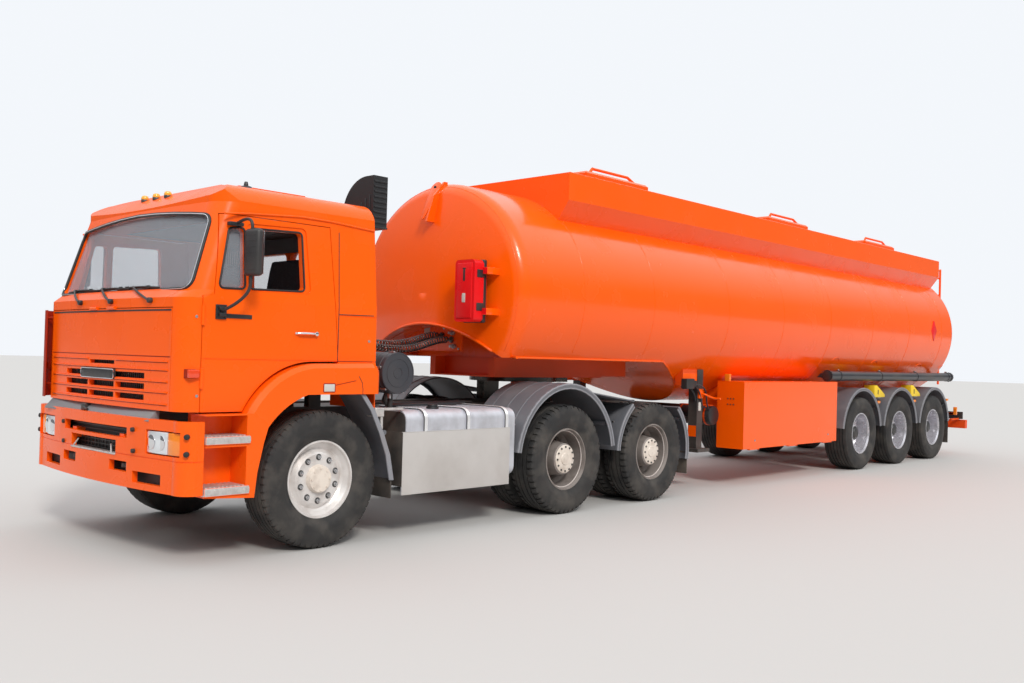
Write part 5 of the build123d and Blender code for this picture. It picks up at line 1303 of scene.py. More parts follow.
    def build(self) -> None:
        """Make everything on the sides."""
        for side, sign in SIDES:
            self.seals(side, sign)
            self.hardware(side, sign)
            self.mirror(side, sign)
        self.gutters_and_steps()
        self.trim()


@dataclass
class Lamps:
    """Headlamps with indicators, side lamps, roof lamps and the other small parts of the roof."""

    roof: Surface
    roof_xs: tuple[float, ...] = (-0.237, -0.044, 0.143)
    roof_y: float = -0.80
    lens_fronts: tuple[tuple[Point, ...], ...] = (
        ((0.786, -1.226), (0.90, -1.221), (1.035, -1.206), (1.035, -1.140), (0.786, -1.140)),
        ((1.047, -1.205), (1.10, -1.196), (1.15, -1.182), (1.178, -1.162), (1.178, -1.120), (1.047, -1.120)))

    def front(self) -> None:
        """Lamps of the front, in place of the plain lamp solids."""
        clear, amber = Piece("headlamp_lenses"), Piece("indicator_lenses")
        clear.slab([at(x, y, 0.766) for x, y in self.lens_fronts[0]], 0.158 * UP, edge=0.012)
        clear.mirrored().done("tractor", CLEAR_LENS, ["lamps"])
        plain("headlamp_bowls", "tractor", CHROME, both=True, rods=[
            ((0.845, -1.223, 0.845), (0.845, -1.2265, 0.845), 0.052, 0.001, 28),
            ((0.965, -1.211, 0.845), (0.965, -1.2145, 0.845), 0.052, 0.001, 28)])
        amber.slab([at(x, y, 0.768) for x, y in self.lens_fronts[1]], 0.154 * UP, edge=0.006)
        amber.mirrored().done("tractor", AMBER_LENS)
        plain("side_lamps", "tractor", ORANGE_LENS, both=True,
              boxes=[((1.110, -1.133, 1.302), (1.178, -1.055, 1.360), 0.006)])
        # Painted shade: a dark-red frame round each side lamp.
        plain("side_lamp_frames", "tractor", SHADE_PAINT, both=True,
              boxes=[((1.104, -1.136, 1.299), (1.150, -1.052, 1.363), 0.004)])

    def on_top(self) -> None:
        """Three lamps, the antenna's foot and a painted shade line along the hatch's edge on the roof."""

        def upright(x: float, y: float, low: float, high: float, *shape: float) -> tuple:
            """Rod that stands on the roof, with its lowest and highest place above it."""
            z = self.roof.top(x, y)
            return (x, y, z + low), (x, y, z + high), *shape

        lamps = [(x, self.roof_y) for x in self.roof_xs]
        plain("roof_lamp_bases", "tractor", DARK_STEEL,
              rods=[upright(*spot, -0.012, 0.010, 0.030, 0.003, 20) for spot in lamps])
        plain("roof_lamp_domes", "tractor", YELLOW_LENS,
              rods=[upright(*spot, 0.008, 0.042, 0.032, 0.010, 20, 0.024) for spot in lamps])
        plain("antenna_base", "tractor", BLACK_PLASTIC,
              rods=[upright(0.86, -0.55, -0.012, 0.016, 0.060, 0.003, 24, 0.040),
                    upright(0.86, -0.55, 0.014, 0.052, 0.020, 0.003, 16, 0.012)])
        loop = rounded_loop(rectangle((-0.285, -0.265), (0.285, 0.385)), 0.03)
        # Painted shade: a dark-red line along the hatch's edge.
        hatch = Piece("roof_hatch_edge").tube([at(x, y, 2.818) for x, y in loop], 0.008, closed=True, sides=1)
        hatch.done("tractor", SHADE_PAINT)

    def build(self) -> None:
        """Make every lamp of the cab."""
        self.front()
        self.on_top()


def bumper_trim() -> None:
    """Make the bolts, tow pins, painted shade inside (a black sheet) and bright strip of the front bumper."""
    # Painted shade: a black sheet at the back of the bumper's hollow.
    plain("bumper_inside", "tractor", SOFT_RUBBER, [((-1.02, -1.160, 0.530), (1.02, -1.152, 0.955))])
    grid = [((0.06 * n - 0.003, -1.188, 0.70), (0.06 * n + 0.003, -1.180, 0.83)) for n in range(-6, 7)]
    for reach, zs in ((0.385, (0.735, 0.765, 0.795)), (0.535, (0.87, 0.90))):
        grid += [((-reach, -1.190, z - 0.003), (reach, -1.182, z + 0.003)) for z in zs]
    plain("bumper_grid", "tractor", BLACK_PLASTIC, grid)
    dots = [((x, -1.235, z), (x, -1.2665, z), 0.016, 0.003)
            for x, z in ((-0.555, 0.902), (-0.542, 0.749), (0.622, 0.917), (0.639, 0.767))]
    for side, sign in SIDES:
        for z in (0.787, 0.905):
            dots.append(((sign * 1.215, -1.150, z), (sign * 1.2445, -1.176, z), 0.019, 0.003))
    plain("bumper_bolts", "tractor", SOFT_RUBBER, rods=dots)
    plain("number_plate_ledge", "tractor", GALVANISED,
          boxes=[((-0.378, -1.2685, 0.716), (0.378, -1.200, 0.729), 0.003)],
          rods=[((-0.36, -1.255, 0.725), (-0.31, -1.235, 0.785), 0.006, 0, 8),
                ((0.30, -1.255, 0.725), (0.25, -1.235, 0.785), 0.006, 0, 8)])
    plain("tow_pins", "tractor", STEEL,
          rods=[((x, -1.215, 0.612), (x, -1.215, 0.676), 0.020, 0.004) for x in (-0.335, 0.505)])


def cushion(name: str, low: Point, high: Point, flat: bool, lean: float = 0.0) -> None:
    """Make one crowned cushion with five sewn channels.

    Args:
        name: The piece's name.
        low: Its lowest corner.
        high: Its highest corner.
        flat: Channels run front to back, as on a seat, and else up, as on a backrest.
        lean: Backward lean in degrees.
    """
    piece = Piece(name)
    a, b = at(*low), at(*high)
    made = bmesh.ops.create_cube(piece.mesh, size=1.0)["verts"]
    edges = list({e for v in made for e in v.link_edges})
    bmesh.ops.subdivide_edges(piece.mesh, edges=edges, cuts=13, use_grid_fill=True)
    verts = piece.mesh.verts[:]
    for vert in verts:
        x, y, z = vert.co
        second = y if flat else z
        crown = 1 - 0.14 + 0.07 * (2 - (2 * x) ** 6 - (2 * second) ** 6)
        seam = 0.018 * abs(math.sin(5 * math.pi * (x + 0.5)))
        if flat:
            vert.co.z = z * crown + (seam if z > 0.3 else 0.0)
        else:
            vert.co.y = y * crown - (seam if y < -0.3 else 0.0)
        vert.co.x *= 1 - 0.05 * (2 * x) ** 4 * (2 * second) ** 4
    bmesh.ops.smooth_vert(piece.mesh, verts=verts, factor=0.5, use_axis_x=True, use_axis_y=True,
                          use_axis_z=True)
    bmesh.ops.scale(piece.mesh, vec=b - a, verts=verts)
    piece.put(verts, Matrix.Rotation(math.radians(lean), 3, "X"), (a + b) / 2)
    piece.done("tractor", SEAT_CLOTH, smooth=80)


def cab_inside() -> None:
    """Make what shows through the cab's windows: seats, linings, curtains and instruments."""
    for name, x in (("driver", 0.52), ("passenger", -0.52)):
        cushion(f"{name}_seat_cushion", (x - 0.262, -0.440, 1.470), (x + 0.262, 0.10, 1.632), True)
        cushion(f"{name}_seat_back", (x - 0.252, 0.010, 1.565), (x + 0.252, 0.172, 2.240), False, -8)
    folds = [start + 0.038 * n for n in range(9) for start in (-1.0, 0.68)]
    plain("cab_rear_lining", "tractor", CURTAIN,
          [((low, 0.385, 1.32), (low + 0.36, 0.392, 2.44), 0.002) for low in (-1.02, 0.66)],
          [((x, 0.380, 1.34), (x, 0.380, 2.42), 0.011, 0, 10) for x in folds])
    plain("cab_lining", "tractor", INTERIOR, [
        ((-1.06, 0.372, 2.362), (1.06, 0.384, 2.50), 0.002),
        ((-1.06, 0.372, 1.30), (1.06, 0.384, 1.948), 0.002),
        ((-1.06, -0.55, 2.492), (1.06, 0.384, 2.500), 0.002),
        ((-1.06, 0.372, 1.90), (-0.642, 0.384, 2.40), 0.002),
        ((0.642, 0.372, 1.90), (1.06, 0.384, 2.40), 0.002)])
    plain("instruments", "tractor", DARK_STEEL, rods=[
        ((x, -0.819, 1.77), (x, -0.813, 1.77), 0.040, 0.001, 24) for x in (0.36, 0.47, 0.58, 0.69)])


@dataclass
class TractorTrim:
    """Fuel tank straps, shield, drum, intake louvres, guard edges, flaps, hoses and tail lamps."""

    strap_ys: tuple[float, ...] = (0.999, 1.495, 1.978)
    drum_y: float = 0.825
    drum_z: float = 1.347

    def fuel_tank(self) -> None:
        """Bright straps, cap and shield sheet, with black painted shade on the tank's front end and on the
        sheet's front fold.
        """
        straps, rubber = Piece("fuel_tank_straps"), Piece("strap_rubber")
        loop = rounded_loop(rectangle((0.521, 0.416), (1.226, 1.049)), 0.096, 7)
        for y in self.strap_ys:
            for shift in (-0.010, 0.0, 0.010):
                straps.tube([at(x, y + shift, z) for x, z in loop], 0.0068, closed=True, sides=1)
            rubber.tube([at(x, y - 0.023, z) for x, z in loop], 0.0045, closed=True, sides=1)
        straps.done("tractor", STRAP, smooth=60)
        rubber.done("tractor", SOFT_RUBBER, smooth=60)
        plain("fuel_cap", "tractor", BLACK_PLASTIC, rods=[
            ((1.03, 1.24, 1.035), (1.03, 1.24, 1.058), 0.055, 0.003, 28),
            ((1.03, 1.24, 1.056), (1.03, 1.24, 1.078), 0.045, 0.006, 28)])
        # Painted shade: a black face on the tank's front end, which stands in shade.
        face = Piece("tank_front_face")
        inner = rounded_loop(rectangle((0.540, 0.435), (1.205, 1.030)), 0.085, 7)
        face.slab([at(x, 0.7895, z) for x, z in inner], -0.004 * REARWARD, edge=0.0012)
        face.done("tractor", MUD_FLAP)
        plain("side_guard_sheet", "tractor", SHEET_GREY, [
            ((1.2362, 0.7395, 0.3535), (1.2385, 2.0115, 0.8665), 0.001),
            ((1.215, 0.742, 0.862), (1.2385, 2.010, 0.8685), 0.002)])
        # Painted shade: a black sheet over the guard sheet's front fold, which lies in shadow.
        plain("side_guard_front", "tractor", MUD_FLAP,
              [((0.7995, 0.7370, 0.4235), (1.2365, 0.7405, 0.8665), 0.001)])

    def drum(self) -> None:
        """Rings, cover and clips of the air cleaner's drum, with the hoses at its foot."""
        y, z = self.drum_y, self.drum_z
        rings = Piece("drum_rings")
        for radius, width in ((0.166, 0.006), (0.118, 0.004), (0.045, 0.005)):
            rings.lathe([(0.0, radius - width), (0.0045, radius - width / 2), (0.0045, radius + width / 2),
                         (0.0, radius + width)], (1.05, y, z), 1, 56)
        for x in (0.62, 0.90, 0.985):
            rings.lathe([(0.0, 0.170), (0.006, 0.1765), (0.018, 0.1765), (0.024, 0.170)], (x, y, z), 1, 56)
        rings.outward().done("tractor", DRUM)
        cover = Piece("drum_cover")
        cover.lathe([(0.0, 0.0), (0.0, 0.1735), (-0.535, 0.1735)], (1.0512, y, z), closed=False)
        cover.outward().done("tractor", DRUM)
        angles = [math.radians(angle) for angle in (35, 100, 165, 230, 295)]
        clips = [(y + 0.1745 * math.cos(a), z + 0.1745 * math.sin(a)) for a in angles]
        plain("drum_clips", "tractor", STEEL,
              [((0.965, cy - 0.01, cz - 0.01), (1.035, cy + 0.01, cz + 0.01), 0.003) for cy, cz in clips])
        hoses = Piece("chassis_hoses")
        for radius, run in (
                (0.014, ((0.95, 0.80, 1.21), (0.98, 0.76, 1.13), (0.92, 0.80, 1.065), (0.80, 1.05, 1.062),
                         (0.78, 1.60, 1.064), (0.62, 2.02, 1.07))),
                (0.011, ((0.90, 0.84, 1.20), (0.86, 0.80, 1.10), (0.74, 0.98, 1.060), (0.70, 1.50, 1.062),
                         (0.56, 2.00, 1.075))),
                (0.013, ((0.60, 0.56, 1.20), (0.58, 0.70, 1.10), (0.50, 1.00, 1.065), (0.47, 1.80, 1.058),
                         (0.43, 2.30, 1.052)))):
            hoses.tube([at(*p) for p in run], radius, smooth=True, sides=2)
        hoses.done("tractor", BLACK_PLASTIC, smooth=60)
        plain("hose_fittings", "tractor", STEEL, rods=[
            ((x, py, pz - 0.018), (x, py, pz + 0.022), 0.017, 0.002, 6)
            for x, py, pz in ((0.95, 0.80, 1.20), (0.90, 0.84, 1.19), (0.985, 0.79, 1.150))])

    def intake(self) -> None:
        """Louvres of the intake behind the cab."""
        fins = [((0.884, 0.648, 2.60 + 0.043 * n), (0.894, 0.782, 2.616 + 0.043 * n), 0.003)
                for n in range(9)]
        fins += [((0.50 + 0.055 * n, 0.634, 2.585), (0.514 + 0.055 * n, 0.641, 2.66 + 0.030 * n), 0.002)
                 for n in range(7)]
        fins.append(((0.455, 0.636, 2.556), (0.893, 0.794, 2.572), 0.004))
        plain("intake_louvres", "tractor", BLACK_PLASTIC, fins)

    def guards(self) -> None:
        """Paler rolled edges and ribs of the arches over the drive wheels."""
        edge = Piece("guard_edges")
        first, second = DRIVE_AXLES
        arches = ((first, 0.722, 172, 8), (second, 0.650, 176, 128), (second, 0.650, 46, -10))
        for y, radius, start, end in arches:
            edge.tube(arc(y, radius + 0.005, start, end, GUARD_X), 0.011, sides=2)
            edge.tube(arc(y, radius - 0.032, start, end, GUARD_X), 0.009, sides=2)
        line = ((0.343, 1.180), (0.445, 1.050), (0.538, 0.868), (0.610, 0.690), (0.654, 0.484))
        rear = [at(1.213, y + 0.010, z) for y, z in line]
        front = [at(1.213, y - 0.036, z) for y, z in reversed(line)]
        edge.slab(rear + front, Vector((0.016, 0, 0)), edge=0.004)
        edge.mirrored().done("tractor", FENDER_EDGE, smooth=60)
        ribs = Piece("guard_ribs")
        for x in (0.72, 0.92, 1.10):
            ribs.tube(arc(first, 0.7365, 165, 15, x), 0.006, sides=1)
        ribs.mirrored().done("tractor", FENDER, smooth=60)

    def guard_bolts(self) -> None:
        """Bolts on the arches over the drive wheels."""
        bolts = []
        first, second = DRIVE_AXLES
        seats = ((first, 0.737, 152), (first, 0.737, 28), (second, 0.665, 150), (second, 0.665, 32))
        for y, radius, angle in seats:
            spoke = Vector((0, math.cos(math.radians(angle)), math.sin(math.radians(angle))))
            for x in (0.85, 1.12):
                seat = Vector((x, y, AXLE_Z)) + radius * spoke
                bolts.append((seat - 0.002 * spoke, seat + 0.006 * spoke, 0.014, 0.002, 10))
        plain("guard_bolts", "tractor", STEEL, rods=bolts, both=True)

    def flaps(self) -> None:
        """Mud flaps, and the clamps and flaps behind the front wheels."""
        plain("mud_flaps", "tractor", MUD_FLAP, both=True, boxes=[
            ((0.618, 4.928, 0.252), (1.232, 4.942, 0.502), 0.003),
            *(((0.64, 4.9275, z), (1.21, 4.9290, z + 0.008)) for z in (0.30, 0.34, 0.38))])
        plain("front_guard_flaps", "tractor", MUD_FLAP, both=True,
              boxes=[((0.92, 0.640, 0.335), (1.216, 0.650, 0.492), 0.002)])
        plain("front_guard_clamps", "tractor", GALVANISED, both=True, boxes=[
            ((1.11, 0.455, 1.000), (1.224, 0.548, 1.070), 0.006),
            ((1.16, 0.520, 0.900), (1.215, 0.545, 1.010), 0.004),
            ((1.14, 0.548, 1.045), (1.165, 0.800, 1.066), 0.004)])

    def tail(self) -> None:
        """Tail lamps."""
        for name, finish, low, high, edge in (
                ("tail_lamp_cases", BLACK_PLASTIC, (0.475, 5.005, 0.780), (0.80, 5.030, 0.890), 0.006),
                ("tail_lenses", RED_LENS, (0.490, 5.028, 0.792), (0.690, 5.046, 0.878), 0.005),
                ("tail_indicators", AMBER_LENS, (0.696, 5.028, 0.792), (0.788, 5.046, 0.878), 0.005)):
            plain(name, "tractor", finish, [(low, high, edge)], both=True)

    def build(self) -> None:
        """Make the tractor's outside parts behind the cab."""
        self.fuel_tank()
        self.drum()
        self.intake()
        self.guards()
        self.flaps()
        self.guard_bolts()
        self.tail()


@dataclass
class TankTrim:
    """Weld seams, lips, blank plates and the red box's fittings on the tank."""

    tank: Surface
    seam_ys: tuple[float, ...] = (3.09, 4.29, 5.83, 7.19, 8.55, 9.95, 11.35, 12.75)
    rim_ys: tuple[float, ...] = (2.17, 13.33)
    manhole_ys: tuple[float, ...] = (4.60, 8.75, 12.00)

    def around(self, y: float, reach: int, step: float, proud: float, lowest: float) -> list[Vector]:
        """Points on the tank's skin, from one side over the top to the other.

        Args:
            y: Place of the cut.
            reach: Number of points on either side of the top.
            step: Degrees from one point to the next.
            proud: How far they stand out.
            lowest: Points lower than this are left out.

        Returns:
            Points in the model's own frame.
        """
        middle = at(0, y, 2.12)
        points = []
        for n in range(-reach, reach + 1):
            a = math.radians(90 + n * step)
            way = Vector((math.cos(a), 0, math.sin(a)))
            spot = self.tank.hit(middle + way * 2.5, -way)
            if spot and spot.z > lowest:
                points.append(spot + way * proud)
        return points

    def seams(self) -> None:
        """Weld seams round the tank, standing a little proud."""
        piece = Piece("tank_seams")
        for y in self.seam_ys:
            piece.tube(self.around(y, 26, 5.6, 0.0005, 1.02), 0.0045, sides=1)
        for y in self.rim_ys:
            piece.tube(self.around(y, 30, 4.6, 0.0, 0.0), 0.004, sides=1)
        for y, z in ((9.00, 1.618), (10.35, 1.595), (12.17, 1.566), (13.20, 1.555)):
            turns = (0, 0.6, 1.2, 1.9, 2.5, math.pi)
            hump = [(y + 0.10 * math.cos(a), z - 0.03 + 0.045 * math.sin(a)) for a in turns]
            for sign in (-1, 1):
                piece.tube([self.tank.side(sign, py, pz, 0.001) for py, pz in hump], 0.006, sides=1)
        piece.done("trailer", TANK_PAINT, smooth=60)

    def lips(self) -> None:
        """Rolled lips along the raised underside and round the arch in the front head."""
        lip = Piece("skirt_lips")
        for sign in (-1, 1):
            points = []
            for n in range(28):
                spot = self.tank.side(sign, 2.16 + 2.58 * n / 27, 1.508)
                points.append(Vector((spot.x, spot.y, 1.503)))
            points += [self.tank.side(sign, y, z) for y, z in ((4.95, 1.42), (5.2, 1.315), (5.5, 1.19))]
            lip.tube(points, 0.012, sides=2)
        arch = []
        for n in range(25):
            share = n / 12 - 1
            z = 1.512 + 0.312 * (1 - share * share) ** 0.92
            spot = self.tank.hit(at(0.93 * share, -3.0, z), REARWARD)
            if spot:
                arch.append(spot + Vector((0, -0.004, -0.006)))
        lip.tube(arch, 0.013, sides=2)
        lip.done("trailer", TANK_PAINT, smooth=60)

    def diamond(self) -> None:
        """Blank red plate on each side, near the rear."""
        plate = Piece("blank_red_plates")
        for sign in (-1, 1):
            corners = ((12.391, 1.975), (12.515, 2.143), (12.391, 2.311), (12.267, 2.143))
            outline = [self.tank.side(sign, y, z, 0.001) for y, z in corners]
            reach = max(sign * p.x for p in outline) + 0.002
            flat = [Vector((sign * reach, p.y, p.z)) for p in outline]
            plate.slab(flat, Vector((-sign * 0.024, 0, 0)), edge=0.002)
        plate.done("trailer", RED_PLASTIC)

    def red_box(self) -> None:
        """Cover, latches, handle and brackets of the red box on the front head."""
        plain("red_box_cover", "trailer", RED_PLASTIC, [
            ((0.6365, 1.8385, 1.8265), (0.8935, 1.962, 2.4035), 0.036),
            ((0.665, 1.8325, 1.857), (0.865, 1.845, 2.373), 0.012)])
        latches = [((x, y, z), (x + 0.015, 1.966, z + 0.072), 0.005)
                   for z in (1.93, 2.24) for x, y in ((0.888, 1.872), (0.627, 1.892))]
        plain("red_box_shell", "trailer", BLACK_PLASTIC, [
            ((0.632, 1.955, 1.820), (0.898, 2.003, 2.410), 0.014), *latches,
            ((0.750, 1.829, 2.205), (0.776, 1.836, 2.318), 0.004),
            ((0.743, 1.8285, 2.318), (0.783, 1.836, 2.328), 0.002)])
        plain("red_box_blank_label", "trailer", PALE_LABEL,
              [((0.741, 1.8305, 2.005), (0.785, 1.8335, 2.090), 0.001)])
        brackets = Piece("red_box_brackets")
        for z in (1.925, 2.305):
            spot = self.tank.hit(at(0.89, -3, z), REARWARD)
            rear = spot.y - FRONT_AXLE_Y + 0.02 if spot else 2.2
            brackets.box((0.8335, 1.945, z - 0.0315), (0.9565, rear, z + 0.0315), 0.002)
        brackets.done("trailer", TANK_PAINT)

    def couplings(self) -> None:
        """Plate for the air hoses, its bolts, blank label and couplings."""
        plain("connector_plate", "trailer", TANK_PAINT, [
            ((-0.641, 2.3345, 1.549), (0.227, 2.3395, 1.831), 0.001),
            ((-0.641, 2.325, 1.549), (0.227, 2.3395, 1.556), 0.001)])
        plain("connector_bolts", "trailer", STEEL, rods=[
            ((x, 2.336, z), (x, 2.326, z), 0.013, 0.002, 6)
            for x, z in ((-0.577, 1.775), (-0.031, 1.785), (0.18, 1.785), (-0.45, 1.60), (0.19, 1.575))])
        plain("connector_blank_label", "trailer", PALE_LABEL,
              [((-0.335, 2.331, 1.735), (-0.245, 2.3345, 1.815), 0.001)])
        ends = Piece("air_couplings")
        for x, z in ((0.112, 1.735), (0.135, 1.600)):
            ends.rod((x, 2.336, z), (x, 2.300, z), 0.024, 0.003, 20)
            ends.rod((x, 2.302, z), (x, 2.262, z), 0.015, 0.002)
            ends.rod((x, 2.285, z), (x + 0.045, 2.285, z + 0.012), 0.009, 0, 10)
        ends.done("trailer", STEEL)
        for name, body, start, end, spots in (
                ("hose_glands", "trailer", 2.3345, 2.312, ((0.09, 1.668), (-0.055, 1.71))),
                ("cab_hose_glands", "tractor", 0.498, 0.522, ((0.08, 1.75), (-0.07, 1.79)))):
            rods = [((x, start, z), (x, end, z), 0.034, 0.003, 6) for x, z in spots]
            plain(name, body, DARK_STEEL, rods=rods)

    def lifting_eye(self) -> None:
        """Round-ended plate on the rib at the top of the front head, with a dark disc of painted shade for
        its hole.
        """
        turns = [math.radians(n * 20 - 20) for n in range(12)]
        flat = [(0.072 * math.cos(a), 3.185 + 0.072 * math.sin(a)) for a in turns]
        flat += [(-0.020, 2.865), (0.0, 2.850), (0.020, 2.865)]
        plate = Piece("lifting_eye")
        plate.slab([at(x, 1.945 + 0.5 * (z - 2.83), z) for x, z in flat], 0.014 * REARWARD, edge=0.003)
        plate.done("trailer", TANK_PAINT)
        # Painted shade: a dark disc where the hole is, in place of a cut hole.
        plain("lifting_eye_hole", "trailer", SOFT_RUBBER,
              rods=[((0, 2.124, 3.195), (0, 2.1245, 3.195), 0.020, 0, 20)])

    def boards(self) -> None:
        """Rolled top edges of the boards, and the rails and lids of the manhole boxes."""
        edge = Piece("board_edges").tube([at(0.979, 3.06, 3.388), at(0.979, 13.14, 3.388)], 0.007, sides=1)
        edge.mirrored().done("trailer", TANK_PAINT)
        rail, lids = Piece("manhole_rails"), Piece("manhole_lids")
        for y in self.manhole_ys:
            route = ((-0.42, 3.598), (-0.40, 3.655), (-0.30, 3.684), (0.05, 3.690), (0.35, 3.688),
                     (0.50, 3.655), (0.56, 3.598))
            rail.tube([at(-0.30, y + along, z) for along, z in route], 0.015, smooth=True, sides=2)
            lids.rod((0.0, y, 3.628), (0.0, y, 3.648), 0.26, 0.004, 40)
            lids.rod((0.0, y, 3.646), (0.0, y, 3.660), 0.10, 0.003, 24)
            for px, py in ring(0.0, y, 0.235, 8):
                lids.rod((px, py, 3.640), (px, py, 3.662), 0.014, 0, 6)
        rail.done("trailer", FRAME_PAINT, smooth=60)
        lids.done("trailer", GALVANISED)

    def build(self) -> None:
        """Make everything on the tank."""
        self.seams()
        self.lips()
        self.diamond()
        self.red_box()
        self.couplings()
        self.lifting_eye()
        self.boards()


@dataclass
class TrailerTrim:
    """Leg gear, side box, pipe clamps, chocks, arches' edges and rear lamps of the trailer."""

    pipe_x: float = 1.17
    pipe_z: float = 1.368
    gaps: tuple[float, ...] = (10.255, 11.665)
    pipes: tuple[tuple[Point, ...], ...] = (
        ((0.98, 5.44, 1.25), (1.01, 5.56, 1.235), (1.00, 5.68, 1.15), (0.98, 5.72, 1.00), (0.96, 5.80, 0.94)),
        ((0.97, 5.43, 1.23), (0.99, 5.52, 1.20), (0.98, 5.60, 1.06), (0.94, 5.70, 0.95), (0.90, 5.84, 0.96)),
        ((0.94, 5.40, 1.21), (0.95, 5.50, 1.15), (0.93, 5.56, 0.98), (0.80, 5.80, 0.985)))

    def legs(self) -> None:
        """Valve box, crank, pipes and air reservoir by the landing leg."""
        plain("leg_valve_box", "trailer", BLACK_PLASTIC, [
            ((0.93, 5.235, 1.19), (1.015, 5.400, 1.312), 0.010),
            ((0.965, 5.40, 1.22), (1.010, 5.455, 1.29), 0.008)],
            [*(((0.915, 5.27, z), (0.93, 5.27, z), 0.014, 0, 12) for z in (1.215, 1.25, 1.285)),
             ((-0.30, 5.90, 0.865), (0.98, 5.90, 0.865), 0.118, 0.025, 32)])
        route = [at(0.965, 5.60, 1.13), at(1.03, 5.60, 1.13), at(1.05, 5.66, 1.10), at(1.05, 5.80, 1.075)]
        crank = Piece("leg_crank").tube(route, 0.012, smooth=True, sides=2)
        crank.rod((1.03, 5.80, 1.075), (1.12, 5.80, 1.075), 0.014, 0, 12)
        crank.box((0.955, 5.555, 1.075), (0.985, 5.645, 1.19), 0.006)
        crank.done("trailer", TANK_PAINT)
        pipes = Piece("leg_pipes")
        for run in self.pipes:
            pipes.tube([at(*p) for p in run], 0.010, smooth=True, sides=1)
        pipes.done("trailer", HOSE_PIPE, smooth=60)
        plain("leg_posts", "trailer", TANK_PAINT, both=True, boxes=[
            ((0.845, 5.539, 0.62), (0.955, 5.5395, 0.75)),
            ((0.838, 5.245, 1.228), (0.952, 5.542, 1.372), 0.004)])
        plain("leg_blank_label", "trailer", PALE_LABEL, [((0.9598, 5.575, 0.93), (0.9612, 5.625, 1.03))])
        strap = Piece("reservoir_straps").box((0.50, 5.86, 0.972), (0.94, 5.94, 0.990), 0.004)
        section = ((-0.012, 0.119), (-0.012, 0.122), (0.012, 0.122), (0.012, 0.119))
        for x in (0.55, 0.90):
            strap.lathe(section, (x, 5.90, 0.865), 1, 40)
        strap.outward().done("trailer", FRAME_PAINT)

    def side_box(self) -> None:
        """Fittings of the side box: bolts, catches and rolled edges."""
        bolts = Piece("box_door_fittings").studs([(6.42, 0.56), (8.42, 0.56)], 1.2440, 1.2485, 0.014, 0.002)
        bolts.done("box_door", STEEL)
        plain("box_top_edge", "trailer", TANK_PAINT, [
            ((0.868, 6.138, 1.2795), (1.2325, 8.682, 1.2860), 0.002),
            *(((1.216, y - 0.02, 1.284), (1.2335, y + 0.02, 1.292), 0.002) for y in (6.9, 7.4, 7.9))])
        plain("box_end_bolts", "trailer", DARK_STEEL, rods=[
            ((x, 6.1405, z), (x, 6.1345, z), 0.009, 0.001, 10)
            for x in (1.02, 1.06, 1.10) for z in (1.00, 1.07)])
        plain("box_marker_lamp", "trailer", AMBER_LENS,
              [((0.965, 6.141, 1.282), (1.035, 6.181, 1.372), 0.006)])

    def pipe(self) -> None:
        """End caps and clamps of the hose tube."""
        x, z = self.pipe_x, self.pipe_z
        bolts = [((px, y - 0.022, pz), (px, y + 0.022, pz), 0.004, 0, 6)
                 for y in (8.515, 13.195) for px, pz in ring(x, z, 0.078, 16)]
        caps = [((x, y - 0.003, z), (x, y + 0.003, z), 0.066, 0.002, 32) for y in (8.489, 13.220)]
        plain("hose_tube_caps", "trailer", BLACK_PLASTIC, rods=bolts + caps)
        clamps = Piece("hose_tube_clamps")
        for y in (8.85, 10.255, 11.665, 13.05):
            clamps.box((x - 0.012, y - 0.016, z + 0.074), (x + 0.012, y + 0.016, z + 0.094), 0.003)
            clamps.studs([(y, z + 0.086)], x - 0.02, x + 0.02, 0.006, 0, 8)
        clamps.done("trailer", STEEL)

    def chocks(self) -> None:
        """Yellow chocks in their holders, each with a dark patch of painted shade for its slot."""
        wedges, slots = Piece("wheel_chocks"), Piece("chock_slots")
        section = ((-0.1915, 1.0505), (0.1915, 1.0505), (0.1915, 1.0915), (-0.0995, 1.2315),
                   (-0.1915, 1.2315))
        for y in self.gaps:
            for sign in (1, -1):
                outline = [at(sign * 1.0285, y + along, z) for along, z in section]
                wedges.slab(outline, Vector((sign * 0.163, 0, 0)), edge=0.003)
                # Painted shade: a thin dark patch for the slot, which is not cut.
                slots.box((sign * 1.190, y - 0.075, 1.095), (sign * 1.1935, y - 0.045, 1.165), 0.001)
        wedges.done("trailer", YELLOW)
        slots.done("trailer", SOFT_RUBBER)

    def guards(self) -> None:
        """Rolled edges of the trailer's arches, with flaps and marker lamps between them."""
        edge = Piece("trailer_guard_edges")
        for y in TRAILER_AXLES:
            edge.tube(arc(y, 0.660, 172, 8, GUARD_X), 0.0095, sides=2)
            edge.tube(arc(y, 0.629, 172, 8, GUARD_X), 0.008, sides=2)
        edge.mirrored().done("trailer", FENDER_EDGE, smooth=60)
        lamps = [((1.165, y - 0.045, 0.955), (1.190, y + 0.045, 0.995), 0.006) for y in (*self.gaps, 13.12)]
        plain("trailer_side_lamps", "trailer", AMBER_LENS, lamps, both=True)
        arms = [((0.478, y - 0.012, 0.962), (1.168, y + 0.012, 0.988), 0.002) for y in (*self.gaps, 13.12)]
        plain("side_lamp_arms", "trailer", FRAME_PAINT, arms, both=True)
        plain("trailer_mud_flaps", "trailer", MUD_FLAP, both=True,
              boxes=[((0.87, 13.052, 0.24), (1.225, 13.062, 0.62), 0.002)])

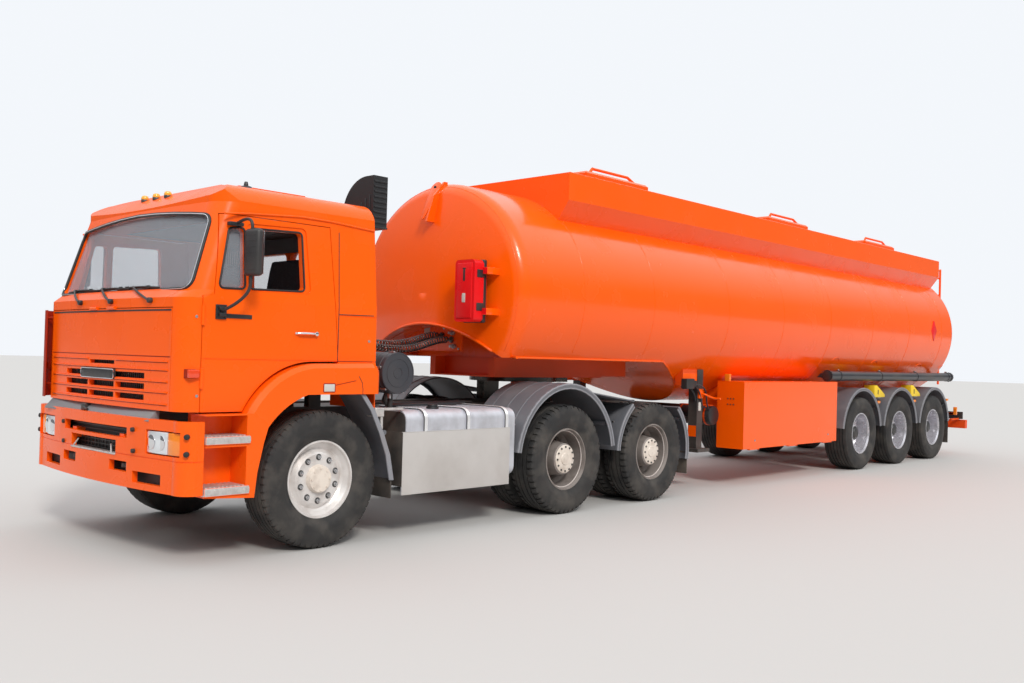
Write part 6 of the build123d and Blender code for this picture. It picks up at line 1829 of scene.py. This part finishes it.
    def rear(self) -> None:
        """Lamps, blank plate and corner lamps at the trailer's rear."""
        cases = Piece("rear_lamp_cases")
        cases.box((0.72, 13.955, 0.615), (1.16, 13.985, 0.745), 0.006)
        cases.box((0.42, 13.955, 0.615), (0.46, 13.99, 0.70), 0.003)
        cases.mirrored().box((-0.27, 13.965, 0.605), (0.27, 13.985, 0.735), 0.004)
        cases.done("trailer", BLACK_PLASTIC)
        plain("rear_lenses", "trailer", RED_LENS, both=True,
              boxes=[((0.735, 13.983, 0.628), (1.000, 14.008, 0.732), 0.006)])
        plain("rear_indicators", "trailer", AMBER_LENS, both=True,
              boxes=[((1.006, 13.983, 0.628), (1.146, 14.008, 0.732), 0.006)])
        plain("blank_number_plate", "trailer", PALE_LABEL,
              boxes=[((-0.26, 13.984, 0.612), (0.26, 13.988, 0.728), 0.001)])
        plain("rear_corner_lamps", "trailer", AMBER_LENS, both=True,
              boxes=[((1.13, 13.565, 0.70), (1.19, 13.60, 0.84), 0.008)])
        arms = Piece("rear_corner_arms")
        arms.box((0.478, 13.56, 0.70), (1.135, 13.585, 0.74), 0.003).mirrored()
        arms.box((1.06, 13.60, 0.60), (1.10, 13.985, 0.63), 0.003).mirrored()
        arms.done("trailer", FRAME_PAINT)

    def build(self) -> None:
        """Make the trailer's small parts."""
        self.legs()
        self.side_box()
        self.pipe()
        self.chocks()
        self.guards()
        self.rear()


def main() -> None:
    """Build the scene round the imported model."""
    logging.basicConfig(level=logging.INFO, format="%(message)s")
    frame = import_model()
    studio = Studio()
    studio.camera()
    studio.floor()
    studio.light()
    AirHoses().build()
    finish_solids(frame)
    Wheels().build()
    skin = Surface(frame, "cab_shell", "front_panel", "door_left", "door_right", "cab_glass")
    CabFront(skin, Surface(frame, "front_panel", "cab_shell")).build()
    CabSides(Surface(frame, "cab_shell", "door_left", "door_right")).build()
    Lamps(Surface(frame, "cab_roof")).build()
    bumper_trim()
    cab_inside()
    TractorTrim().build()
    TankTrim(Surface(frame, "tank_shell")).build()
    TrailerTrim().build()


if __name__ == "__main__":
    main()
